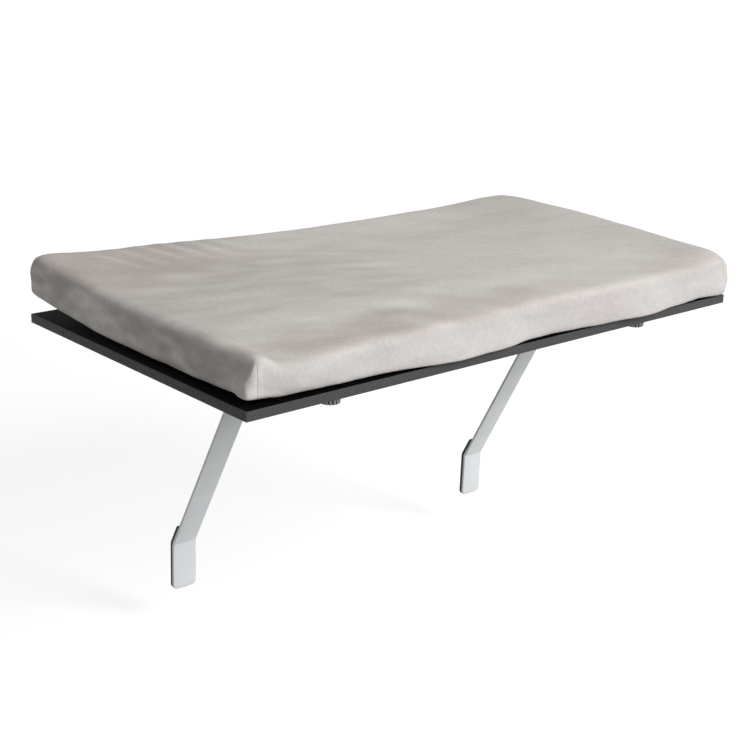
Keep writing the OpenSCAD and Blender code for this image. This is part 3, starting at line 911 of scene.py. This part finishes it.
def draw_and_curl(co):
    """Pulls the sides in between the corners, and lifts and tilts the rear corners."""
    across = abs(co.x - pad_middle.x) / (pad_half.x - pad_corner_radius)
    along = abs(co.y - pad_middle.y) / (pad_half.y - pad_corner_radius)
    pull_y = pad_draw_in * ease(across, 1, 1 - pull_share) / pad_half.y
    pull_x = pad_draw_in * ease(along, 1, 1 - pull_share) / pad_half.x
    co.x = pad_middle.x + (co.x - pad_middle.x) * (1 - pull_x)
    co.y = pad_middle.y + (co.y - pad_middle.y) * (1 - pull_y)
    step = 0.001
    lifted = curl(co.x, co.y)
    slope_x = (curl(co.x + step, co.y) - lifted) / step
    slope_y = (curl(co.x, co.y + step) - lifted) / step
    below_top = pad_under_z + pad_thickness - co.z
    co.z += lifted
    co.x += slope_x * below_top
    co.y += slope_y * below_top


def soft_box(name, low, high, corner, top_round, under_round, voxel):
    """A closed slab with round corners and edges, remeshed into an even net."""
    piece = start_box(name, low, high)
    round_upright_edges(piece, corner, 8)
    edit(piece)
    round_picked(piece, top_round, 6, lambda e: min(v.co.z for v in e.verts) > high.z - hair)
    round_picked(piece, under_round, 4, lambda e: max(v.co.z for v in e.verts) < low.z + hair)
    stop_editing()
    apply_modifier(piece, "REMESH", mode="VOXEL", voxel_size=voxel)
    return piece


foam_low = Vector((pad_left_x + foam_gap, pad_front_y + foam_gap, pad_under_z + foam_gap))
foam_high = Vector((pad_right_x - foam_gap, pad_rear_y - foam_gap, pad_under_z + pad_thickness - foam_gap))
foam = soft_box("foam_slab", foam_low, foam_high, pad_corner_radius - foam_gap, pad_top_round,
                pad_hem_round, foam_voxel)
foam_middle = (foam_low + foam_high) / 2
flat_foam = foam.copy()
flat_foam.data = foam.data.copy()
for vertex in foam.data.vertices:
    vertex.co = foam_middle + (vertex.co - foam_middle) * foam_share
    vertex.co.z += top_fullness(vertex.co.x, vertex.co.y) * (vertex.co.z - foam_low.z) / pad_thickness
    draw_and_curl(vertex.co)
select_only(foam)
bpy.ops.object.shade_smooth()

cream = new_material("cream_foam", (0.75, 0.68, 0.48), 0.95, specular=0.1)
cells = place(cream, "ShaderNodeTexVoronoi", {"Vector": spot_on(cream), "Scale": 900}).outputs["Distance"]
paint(cream, between(cream, cells, 0, 1, 0, 0.6), (0.6, 0.52, 0.33), (0.79, 0.72, 0.53))
roughen(cream, speckle(cream, 60), 0.88, 1.0)
emboss(cream, cells, 0.0004, 0.8)
finish_with(foam, cream)
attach(foam, "cushion")
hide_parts("foam_core")


# Cushion cover
# Short-pile grey plush, cut in one for the top and the four sides and closed by a sewn dart
# at each corner. It is drawn over the foam and its hem turns in under the pad. The two rear
# corners curl up off the board, and the front hem sags over the board's edge between.
cover_voxel = 0.006
cover_corner_radius = 0.013
cover_top_round = 0.007
cover_hem_round = 0.004
spare_cloth = 0.01
cloth_gap = 0.001
hem_slack = 0.001
crown = 0.0015
kept_share = 0.4
under_gap = 0.0002
under_depth = 0.004
under_lift = 0.0022
hem_edge = 0.002
fold_height = 0.0018
fold_pitch = 0.025
fold_angle = math.radians(58)
fold_wander = 1.5
fold_wander_scale = 14
folds_hump_x = (-0.200, 0.125)
folds_start_y = (0.010, 0.055)
folds_end_y = (0.084, 0.066)
front_hem_waves = ((-0.200, 0.090, 0.0036), (-0.085, 0.105, 0.0120), (-0.010, 0.060, 0.0062),
                   (0.045, 0.050, 0.0055), (0.095, 0.060, 0.0070), (0.178, 0.105, 0.0130),
                   (0.262, 0.060, 0.0050), (0.315, 0.045, 0.0065))
sag_share = 0.3
bulge_share = 1.55
hem_reach = 0.032
front_side_depth = 0.012
side_top = 0.75
dent_scale = 11
dent_depth = 0.0008
pucker_scale = 28
pucker_depth = 0.0004
swell_scale = 5
swell_depth = 0.001
left_hem_lift = 0.002
left_hem_rise = 0.0035
corner_hem_lift = 0.004
corner_hem_reach = 0.055
corner_reach = 0.022
corner_flare = 0.0035
corner_flare_hump = (62, 34)
corner_point = 0.0025
corner_point_hump = (45, 30)
corner_pull = 0.010
corner_pull_reach = 0.062
corner_pull_squeeze = 1.3
seam_turn = 30
seam_half_turn = 10
seam_depth = 0.0012
end_bulge = 0.009
end_tuck = 0.005
corner_bulge = 0.007
corner_bulge_reach = 0.06
zip_low, zip_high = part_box("zip_tape")
zip_bed_gap = 0.0003
zip_bed_margin = 0.004
zip_bed_blend = 0.012
nap_lies = math.radians(-18)
# Most values from here down set where the plush is painted darker or lighter as shade and light.
plain_shade_level = 0.5
stroke_scale = 22
top_edge = (0.80, 0.92)
front_painted_light_depth = 0.014
left_end_depth = 0.014
left_end_from_front = 0.006
front_band_hump = (0.030, 0.045)
front_band_end_x = (-0.030, 0.170)
shaded_rear_x = (-0.050, -0.220)
shaded_rear_y = (-0.130, 0.020)
shaded_right_x = (0.150, 0.300)
stroked_x = (0.120, -0.130)
front_shaded_x = (-0.270, -0.170)
front_shade_hump_x = (0.105, 0.150)
front_corner_x = (-0.298, -0.314)
left_lightened_y = (-0.160, -0.060)
left_patch_hump_y = (-0.050, 0.090)


def from_outline(co):
    """How far in from the pad's outline a place lies."""
    return min(pad_half.x - abs(co.x - pad_middle.x), pad_half.y - abs(co.y - pad_middle.y))


def drape(piece, inner, frames=20):
    """Lets a cover that is cut a little large settle over the foam, its hem held underneath."""
    scene.collection.objects.link(inner)
    select_only(inner)
    inner.modifiers.new("stop", "COLLISION")
    inner.collision.thickness_outer = cloth_gap
    inner.collision.cloth_friction = 10
    before = [vertex.co.copy() for vertex in piece.data.vertices]
    sewn = piece.vertex_groups.new(name="sewn")
    for vertex in piece.data.vertices:
        if vertex.co.z < pad_under_z + hem_slack and from_outline(vertex.co) > hem_inset - hem_slack:
            sewn.add([vertex.index], 1.0, "REPLACE")
    select_only(piece)
    cloth = piece.modifiers.new("cloth", "CLOTH")
    cloth.settings.quality = 5
    cloth.settings.mass = 0.3
    cloth.settings.tension_stiffness = 15
    cloth.settings.compression_stiffness = 15
    cloth.settings.shear_stiffness = 6
    cloth.settings.bending_stiffness = 1.0
    cloth.settings.shrink_min = -spare_cloth
    cloth.settings.vertex_group_mass = "sewn"
    cloth.collision_settings.distance_min = cloth_gap
    cloth.point_cache.frame_start = 1
    cloth.point_cache.frame_end = frames
    for frame_number in range(1, frames + 1):
        scene.frame_set(frame_number)
    bpy.ops.object.modifier_apply(modifier=cloth.name)
    for vertex, start_co in zip(piece.data.vertices, before):
        vertex.co = start_co + (vertex.co - start_co) * kept_share
    piece.vertex_groups.clear()
    scene.frame_set(1)


def press_zip_bed(co):
    """Lays the rear side flat behind the zip that is sewn to it."""
    past = max(zip_low.x - co.x, co.x - zip_high.x, zip_low.z - co.z, co.z - zip_high.z)
    if co.y > pad_middle.y + pad_half.y * 0.9:
        share = ease(past, zip_bed_margin + zip_bed_blend, zip_bed_margin)
        co.y += (zip_low.y - zip_bed_gap - co.y) * share


def shape_corner(co, height):
    """Presses in the seam of each corner's dart. The front left corner is also drawn in at its top."""
    side = Vector((math.copysign(1, co.x - pad_middle.x), math.copysign(1, co.y - pad_middle.y), 0))
    out_x = abs(co.x - pad_middle.x) - pad_half.x + corner_reach
    out_y = abs(co.y - pad_middle.y) - pad_half.y + corner_reach
    if out_x > 0 and out_y > 0:
        turn = math.degrees(math.atan2(out_x, out_y))
        move = -seam_depth * bump_at(turn, seam_turn, seam_half_turn)
        if side.x < 0 and side.y < 0:
            move += corner_flare * bump_at(turn, *corner_flare_hump) * ease(height, side_top, 0)
            move += corner_point * bump_at(turn, *corner_point_hump)
        co += Vector((side.x * out_x, side.y * out_y, 0)).normalized() * move
    away = math.hypot(corner_pull_squeeze * (co.x - pad_left_x), co.y - pad_front_y)
    near = ease(away, corner_pull_reach, 0)
    co.x += corner_pull * near * ease(height, 0.2, 1)


def fold_at(x, y):
    """The small folds that run from the rear edge to the front right, from -1 to 1."""
    creased = bump_at(x, *folds_hump_x) * ease(y, *folds_start_y) * ease(y, *folds_end_y)
    across = x * math.sin(fold_angle) + y * math.cos(fold_angle)
    wander = fold_wander * noise.noise(Vector((x, y, 0)) * fold_wander_scale)
    wave = math.sin(across * 2 * math.pi / fold_pitch + wander)
    return creased * wave * abs(wave)


def shape_cover(co):
    """The pad's lasting creases and sags, laid over the draped cover."""
    height = unit((co.z - pad_under_z) / pad_thickness)
    rough = noise.noise(co * dent_scale) * dent_depth
    rough += noise.noise(co * pucker_scale + Vector((5, 0, 0))) * pucker_depth
    wave = sum(size * bump_at(co.x, middle, half) for middle, half, size in front_hem_waves)
    wave *= ease(height, side_top, 0)
    outside = ease(co.y - pad_front_y, front_side_depth, 0)
    co.y -= wave * bulge_share * ease(co.y - pad_front_y, hem_reach, 0)
    co.z -= wave * sag_share * outside
    lift = left_hem_lift * ease(co.y, 0.030, -0.030) * ease(co.y - pad_front_y, 0, 0.08)
    lift += left_hem_rise * bump_at(co.y, -0.222, 0.050)
    lift *= ease(co.x - pad_left_x, hem_reach, 0)
    lift += corner_hem_lift * ease(math.hypot(co.x - pad_left_x, co.y - pad_front_y), corner_hem_reach, 0)
    co.z += lift * ease(height, 0.5, 0)
    at_right = ease(pad_right_x - co.x, hem_reach, 0)
    co.x += at_right * (end_bulge * math.sin(math.pi * height) - end_tuck * ease(height, 0.3, 0))
    near_left = ease(co.x - pad_left_x, corner_bulge_reach, 0)
    near_rear = ease(pad_rear_y - co.y, corner_bulge_reach, 0)
    fullness = corner_bulge * near_left * near_rear * math.sin(math.pi * unit(0.10 + 0.62 * height))
    co.x -= 0.6 * fullness
    co.y += 0.8 * fullness
    co.z += fold_height * fold_at(co.x, co.y) * ease(height, 0.6, 1)
    co.z += top_fullness(co.x, co.y) * height
    shape_corner(co, height)
    co.z += (rough + noise.noise(co * swell_scale) * swell_depth) * ease(height, 0.5, 1)
    draw_and_curl(co)
    if height < side_top:
        side = Vector((co.x - pad_middle.x, co.y - pad_middle.y, 0)).normalized()
        co += side * rough * 1.2
    press_zip_bed(co)


def on_top_at(co):
    """1 on the pad's top and 0 on its sides."""
    height = (co.z - curl(co.x, co.y) - top_fullness(co.x, co.y) * 0.9 - pad_under_z) / pad_thickness
    return ease(height, *top_edge)


def left_end_painted_shade(co, height):
    """Painted shade on the left end: darker in patches and lighter toward the hem, with random mottling."""
    shade_amount = 0.10 + 0.16 * ease(co.y, *left_lightened_y) + 0.28 * ease(height, 0.55, 0)
    shade_amount += 0.45 * bump_at(co.y, *left_patch_hump_y) * ease(height, 0.8, 0)
    smear = Vector((co.x, 0.45 * co.y, co.z))
    return shade_amount + (0.55 * noise.noise(smear * 55) + 0.6 * noise.noise(smear * 130))


def mottling_and_painted_shade_at(co):
    """Painted shade and light on the cover at a place, with random mottling: 0 is darkest and 1 lightest."""
    height = unit((co.z - curl(co.x, co.y) - pad_under_z) / pad_thickness)
    from_front = co.y - pad_front_y
    # Painted shade: a band behind the front crease, the rear left and the right end are darker, and the small
    # folds are painted lighter on their ridges and darker in their dips.
    front_band = bump_at(from_front, *front_band_hump) * (1 - 0.65 * ease(co.x, *front_band_end_x))
    rear_left = ease(co.x, *shaded_rear_x) * ease(co.y, *shaded_rear_y)
    far_right = ease(co.x, *shaded_right_x)
    stroke = Vector((co.x * math.cos(nap_lies) + co.y * math.sin(nap_lies),
                     2.4 * (co.y * math.cos(nap_lies) - co.x * math.sin(nap_lies)), 0))
    top = plain_shade_level - 0.34 * front_band - 0.50 * rear_left - 0.12 * far_right + 0.4 * fold_at(co.x, co.y)
    top += 0.35 * noise.noise(stroke * stroke_scale) * ease(co.x, *stroked_x)
    # On the sides, the left part of the front and a spot near its middle are painted darker as shade, and the
    # front left corner lighter as painted light.
    side = plain_shade_level - 0.15 * ease(co.x, *front_shaded_x) - 0.16 * bump_at(co.x, *front_shade_hump_x)
    side += 0.35 * ease(co.x, *front_corner_x)
    if co.x - pad_left_x < left_end_depth and from_front > left_end_from_front:
        side = left_end_painted_shade(co, height)
    on_top = on_top_at(co)
    return unit(top * on_top + side * (1 - on_top))


def front_painted_light_at(co):
    """1 on the front side, whose colour is tinted a little cooler there as painted light from the front lamp.
    """
    return ease(co.y - pad_front_y, front_painted_light_depth, 0) * (1 - on_top_at(co))


def store_painted_light(piece, name, amount_at):
    """Stores on a piece of plush an amount of painted shade or light at each point."""
    shade_amount = piece.data.attributes.new(name=name, type="FLOAT", domain="POINT")
    for vertex in piece.data.vertices:
        shade_amount.data[vertex.index].value = amount_at(vertex.co)


def strokes(material, scale, length, detail):
    """A noise pattern drawn out along the way the pile was stroked. Scale is in spots to the metre."""
    along = place(material, "ShaderNodeMapping", {
        "Vector": spot_on(material), "Rotation": (0, 0, nap_lies), "Scale": (length, 1, 1)},
        vector_type="TEXTURE").outputs[0]
    return place(material, "ShaderNodeTexNoise", {
        "Vector": along, "Scale": scale, "Detail": detail, "Distortion": 0.6}).outputs[0]


def shaded_by(material, colour, name, first, second):
    """Multiplies a colour by one that goes with a stored amount of painted shade or light."""
    shade_amount = place(material, "ShaderNodeAttribute", attribute_name=name).outputs["Fac"]
    shade = tint(material, shade_amount, first, second)
    return place(material, "ShaderNodeVectorMath", {0: colour, 1: shade}, operation="MULTIPLY").outputs[0]


cover = soft_box("plush_cover", Vector((pad_left_x, pad_front_y, pad_under_z + under_gap)),
                 Vector((pad_right_x, pad_rear_y, pad_under_z + pad_thickness + crown)),
                 cover_corner_radius, cover_top_round, cover_hem_round, cover_voxel)
drape(cover, flat_foam)
bpy.data.objects.remove(flat_foam)
for vertex in cover.data.vertices:
    shape_cover(vertex.co)
    under = vertex.co.z - curl(vertex.co.x, vertex.co.y) - pad_under_z
    if under < under_depth:
        past_hem = ease(from_outline(vertex.co), hem_inset - hem_edge, hem_inset + hem_edge)
        vertex.co.z += under_lift * past_hem - min(0.0, under)
apply_modifier(cover, "SUBSURF", levels=1, render_levels=1)
bpy.ops.object.shade_smooth()
# The cover stores an amount of painted shade and light, with random mottling, that its colour is multiplied
# by.
store_painted_light(cover, "mottling_and_painted_shade", mottling_and_painted_shade_at)
# The front side's colour is tinted cooler as painted light from the lamp in front.
store_painted_light(cover, "front_painted_light", front_painted_light_at)

plush = new_material("grey_plush", (0.6, 0.585, 0.565), 0.95, specular=0.12)
sockets_of(plush)["Sheen Weight"].default_value = 0.12
sockets_of(plush)["Sheen Roughness"].default_value = 0.45
sockets_of(plush)["Sheen Tint"].default_value = (0.9, 0.9, 0.92, 1)
brushed = strokes(plush, 13, 2.2, 3)
stroked = strokes(plush, 42, 3.0, 3)
tufted = speckle(plush, 260)
flecks = between(plush, strokes(plush, 190, 2.6, 2), 0, 0.25, 0.62, 0.72)
marks = reckon(plush, "ADD", reckon(plush, "ADD", brushed, stroked), between(plush, tufted, 0.35, 0.65))
marks = reckon(plush, "ADD", marks, flecks)
worn = tint(plush, between(plush, marks, 0, 1, 1.2, 1.8), (0.555, 0.53, 0.507), (0.66, 0.632, 0.607))
# Painted shade: darker and warmer where the stored amount is low, lighter where it is high.
painted_shade_colour = shaded_by(plush, worn, "mottling_and_painted_shade", (0.80, 0.765, 0.750), (1.19, 1.215, 1.205))
# Painted light: the lamp-lit front side is tinted a little cooler.
front_light_painted_colour = shaded_by(plush, painted_shade_colour, "front_painted_light", (1.0, 1.0, 1.0), (0.985, 1.0, 1.025))
plush.node_tree.links.new(front_light_painted_colour, sockets_of(plush)["Base Color"])
roughen(plush, stroked, 0.85, 1.0)
emboss(plush, tufted, 0.0006, 0.22)
emboss(plush, speckle(plush, 1400, 2), 0.0003, 0.4)
finish_with(cover, plush)
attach(cover, "cushion")
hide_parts("cushion_cover")


# Corner seams
# The darts at the four corners are sewn from inside. What shows is the line where the two edges
# of the plush are drawn together, which lies in the dip that the stitches press.
seam_radius = 0.0004
seam_steps = 36
seam_lowest = math.radians(-40)
seam_highest = math.radians(34)
seam_painted_shade = 0.25
cloth_face = BVHTree.FromPolygons([vertex.co for vertex in cover.data.vertices],
                                  [face.vertices[:] for face in cover.data.polygons])
seam_lines = bpy.data.curves.new("corner_seams", "CURVE")
seam_lines.dimensions = "3D"
seam_lines.bevel_depth = seam_radius
seam_lines.bevel_resolution = 2
seam_lines.use_fill_caps = True
seam_way = math.radians(seam_turn)
for side_x, side_y in ((-1, -1), (-1, 1), (1, 1), (1, -1)):
    inner = Vector((pad_middle.x + side_x * (pad_half.x - corner_reach),
                    pad_middle.y + side_y * (pad_half.y - corner_reach), 0))
    inner.z = pad_under_z + pad_thickness / 2 + curl(inner.x, inner.y)
    outward = Vector((side_x * math.sin(seam_way), side_y * math.cos(seam_way), 0))
    line = seam_lines.splines.new("POLY")
    line.points.add(seam_steps)
    for i, point in enumerate(line.points):
        climb = seam_lowest + (seam_highest - seam_lowest) * i / seam_steps
        hit = cloth_face.ray_cast(inner, outward * math.cos(climb) + Vector((0, 0, math.sin(climb))))[0]
        point.co = (*(hit - outward * hair), 1)
seams = bpy.data.objects.new("corner_seams", seam_lines)
scene.collection.objects.link(seams)
select_only(seams)
bpy.ops.object.convert(target="MESH")
bpy.ops.object.shade_smooth()
# The seam line is painted darker than the plain plush, as shade in the dip it lies in.
store_painted_light(seams, "mottling_and_painted_shade", lambda co: seam_painted_shade)
finish_with(seams, plush)
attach(seams, "cushion")


# Bottom panel
# Black woven polyester, cut flat and sewn inside the cover's hem. It lies on the loop tapes.
base_flat = (0.6214, 0.3134)
base_thickness = 0.0008
base = start("woven_bottom_panel", bpy.ops.mesh.primitive_grid_add, x_subdivisions=90, y_subdivisions=46,
             size=1, location=(pad_middle.x, pad_middle.y, pad_under_z + base_thickness / 2))
edit(base)
bpy.ops.transform.resize(value=(*base_flat, 1))
settle(base)
for vertex in base.data.vertices:
    draw_and_curl(vertex.co)
apply_modifier(base, "SOLIDIFY", thickness=base_thickness, offset=0)
smooth(base)
finish_with(base, woven)
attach(base, "cushion")
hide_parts("cushion_base")


# Zip tape
# Black woven tape along the rear side. Two folded lips of the cover's plush lie over its long
# edges, and grey thread holds each lip with a row of stitches beside the teeth.
zip_middle_z = middle_of("zip_tape").z
teeth_low, teeth_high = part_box("zip_teeth")
teeth_half = (teeth_high.z - teeth_low.z) / 2
tape_round = 0.0002
lip_from = teeth_half + 0.0022
lip_to = 0.0135
lip_thickness = 0.0014
lip_over = 0.004
lip_round = 0.0005
lip_ripple = 0.0003
lip_ripple_scale = 60
lip_painted_shade = 0.36
stitch_half = Vector((0.0011, 0.00018, 0.00028))
stitch_round = 0.00012
stitch_pitch = 0.0031
stitch_in = 0.0022
zip_cloth = start_box("zip_cloth", zip_low, zip_high)
round_edges(zip_cloth, tape_round, 2)
finish_with(zip_cloth, woven)
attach(zip_cloth, "cushion")
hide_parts("zip_tape")

for name, side in (("upper_zip_lip", 1), ("lower_zip_lip", -1)):
    z_near = zip_middle_z + side * lip_from
    z_far = zip_middle_z + side * lip_to
    lip = start_box(name, Vector((zip_low.x - lip_over, zip_high.y + hair, min(z_near, z_far))),
                    Vector((zip_high.x + lip_over, zip_high.y + lip_thickness, max(z_near, z_far))))
    edit(lip)
    pick_all()
    bpy.ops.mesh.subdivide(number_cuts=3)
    pick(lip, "EDGE", lambda e: edge_runs(e, 0))
    bpy.ops.mesh.subdivide(number_cuts=16)
    stop_editing()
    for vertex in lip.data.vertices:
        ripple = noise.noise(vertex.co * lip_ripple_scale) * lip_ripple
        vertex.co.z += curl(vertex.co.x, vertex.co.y) + ripple
    round_edges(lip, lip_round)
    # The lips are painted the same shade as the rear side of the cover beside them.
    store_painted_light(lip, "mottling_and_painted_shade", lambda co: lip_painted_shade)
    finish_with(lip, plush)
    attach(lip, "cushion")

thread = new_material("grey_thread", (0.3, 0.29, 0.28), 0.7)
paint(thread, speckle(thread, 1800, 2), (0.24, 0.23, 0.22), (0.38, 0.37, 0.36))
roughen(thread, speckle(thread, 900), 0.6, 0.8)
emboss(thread, speckle(thread, 5000, 1), 0.00004, 0.5)
one_stitch = start_box("one_stitch", -stitch_half, stitch_half)
round_edges(one_stitch, stitch_round, 1)
stitch_copies = []
for i in range(int((zip_high.x - zip_low.x) / stitch_pitch)):
    for side in (-1, 1):
        spot = Vector((zip_low.x + (i + 0.5) * stitch_pitch, zip_high.y + lip_thickness,
                       zip_middle_z + side * (lip_from + stitch_in)))
        spot.z += curl(spot.x, spot.y)
        stitch_copies.append(copy_of(one_stitch, "stitch", Matrix.Translation(spot)))
bpy.data.objects.remove(one_stitch)
stitches = stitch_copies[0]
join_to(stitches, stitch_copies[1:])
stitches.name = stitches.data.name = "zip_lip_stitches"
smooth(stitches)
finish_with(stitches, thread)
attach(stitches, "cushion")


# Zip teeth
# Two rows of moulded black teeth that lock between each other, each clamped on its tape's
# cord, with a stop at both ends.
tooth_pitch = 0.005
tooth_width = 0.0019
tooth_neck = 0.0012
tooth_past_middle = 0.35
neck_low = 0.4
neck_high = 0.6
tooth_round = 0.00015
first_tooth_in = 0.0038
stop_length = 0.002
stop_round = 0.0003
one_tooth = start_box("tooth", Vector((-tooth_width / 2, teeth_low.y, -teeth_half)),
                      Vector((tooth_width / 2, teeth_high.y, teeth_half * tooth_past_middle)))
edit(one_tooth)
pick(one_tooth, "EDGE", lambda e: edge_runs(e, 2))
bpy.ops.mesh.subdivide(number_cuts=3)
shape = bmesh.from_edit_mesh(one_tooth.data)
for vertex in shape.verts:
    if neck_low < (vertex.co.z + teeth_half) / (teeth_half * (1 + tooth_past_middle)) < neck_high:
        vertex.co.x *= tooth_neck / tooth_width
bmesh.update_edit_mesh(one_tooth.data)
stop_editing()
round_edges(one_tooth, tooth_round, 1, 40)

stop_low = Vector((teeth_low.x, teeth_low.y, zip_middle_z - teeth_half))
stop_high = Vector((teeth_low.x + stop_length, teeth_high.y, zip_middle_z + teeth_half))
to_far_end = Vector((teeth_high.x - teeth_low.x - stop_length, 0, 0))
teeth_row = start_box("zip_tooth_rows", stop_low, stop_high)
far_stop = start_box("far_stop", stop_low + to_far_end, stop_high + to_far_end)
for stop in (teeth_row, far_stop):
    round_edges(stop, stop_round, 2)
teeth_parts = [far_stop]
for i in range(int((teeth_high.x - teeth_low.x - 3 * stop_length) / tooth_pitch * 2)):
    spot = Vector((teeth_low.x + first_tooth_in + i * tooth_pitch / 2, 0, zip_middle_z))
    flip = Matrix.Rotation(math.pi, 4, "Y") if i % 2 else Matrix.Identity(4)
    teeth_parts.append(copy_of(one_tooth, "tooth_copy", Matrix.Translation(spot) @ flip))
bpy.data.objects.remove(one_tooth)
join_to(teeth_row, teeth_parts)
smooth(teeth_row)

teeth_black = new_material("moulded_teeth", (0.02, 0.02, 0.021), 0.35)
paint(teeth_black, speckle(teeth_black, 700), (0.015, 0.015, 0.016), (0.035, 0.035, 0.036))
roughen(teeth_black, speckle(teeth_black, 400), 0.3, 0.45)
emboss(teeth_black, speckle(teeth_black, 2200), 0.00003, 0.4)
finish_with(teeth_row, teeth_black)
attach(teeth_row, "cushion")
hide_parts("zip_teeth")


# Zip slider and pull
# Die-cast zinc, tumbled until their edges are soft and then plated bright. The pull's eye
# hangs on the pin between the slider's two lugs.
plated = new_material("bright_nickel", (0.7, 0.69, 0.67), 0.22, metal=1.0)
paint(plated, speckle(plated, 400), (0.6, 0.59, 0.57), (0.74, 0.73, 0.71))
roughen(plated, speckle(plated, 900, 4), 0.16, 0.34)
emboss(plated, speckle(plated, 3000), 0.00002, 0.5)

for node_name, name, edge_round in (("zip_slider", "cast_slider", 0.00025),
                                    ("zip_pull", "cast_pull", 0.0002)):
    cast = copy_of(nodes[node_name], name)
    edit(cast)
    pick_all()
    bpy.ops.mesh.remove_doubles(threshold=merge_distance / 2)
    bpy.ops.mesh.dissolve_limited(angle_limit=math.radians(1))
    stop_editing()
    round_edges(cast, edge_round, 2, 35)
    finish_with(cast, plated)
    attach(cast, node_name)
    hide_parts(node_name)
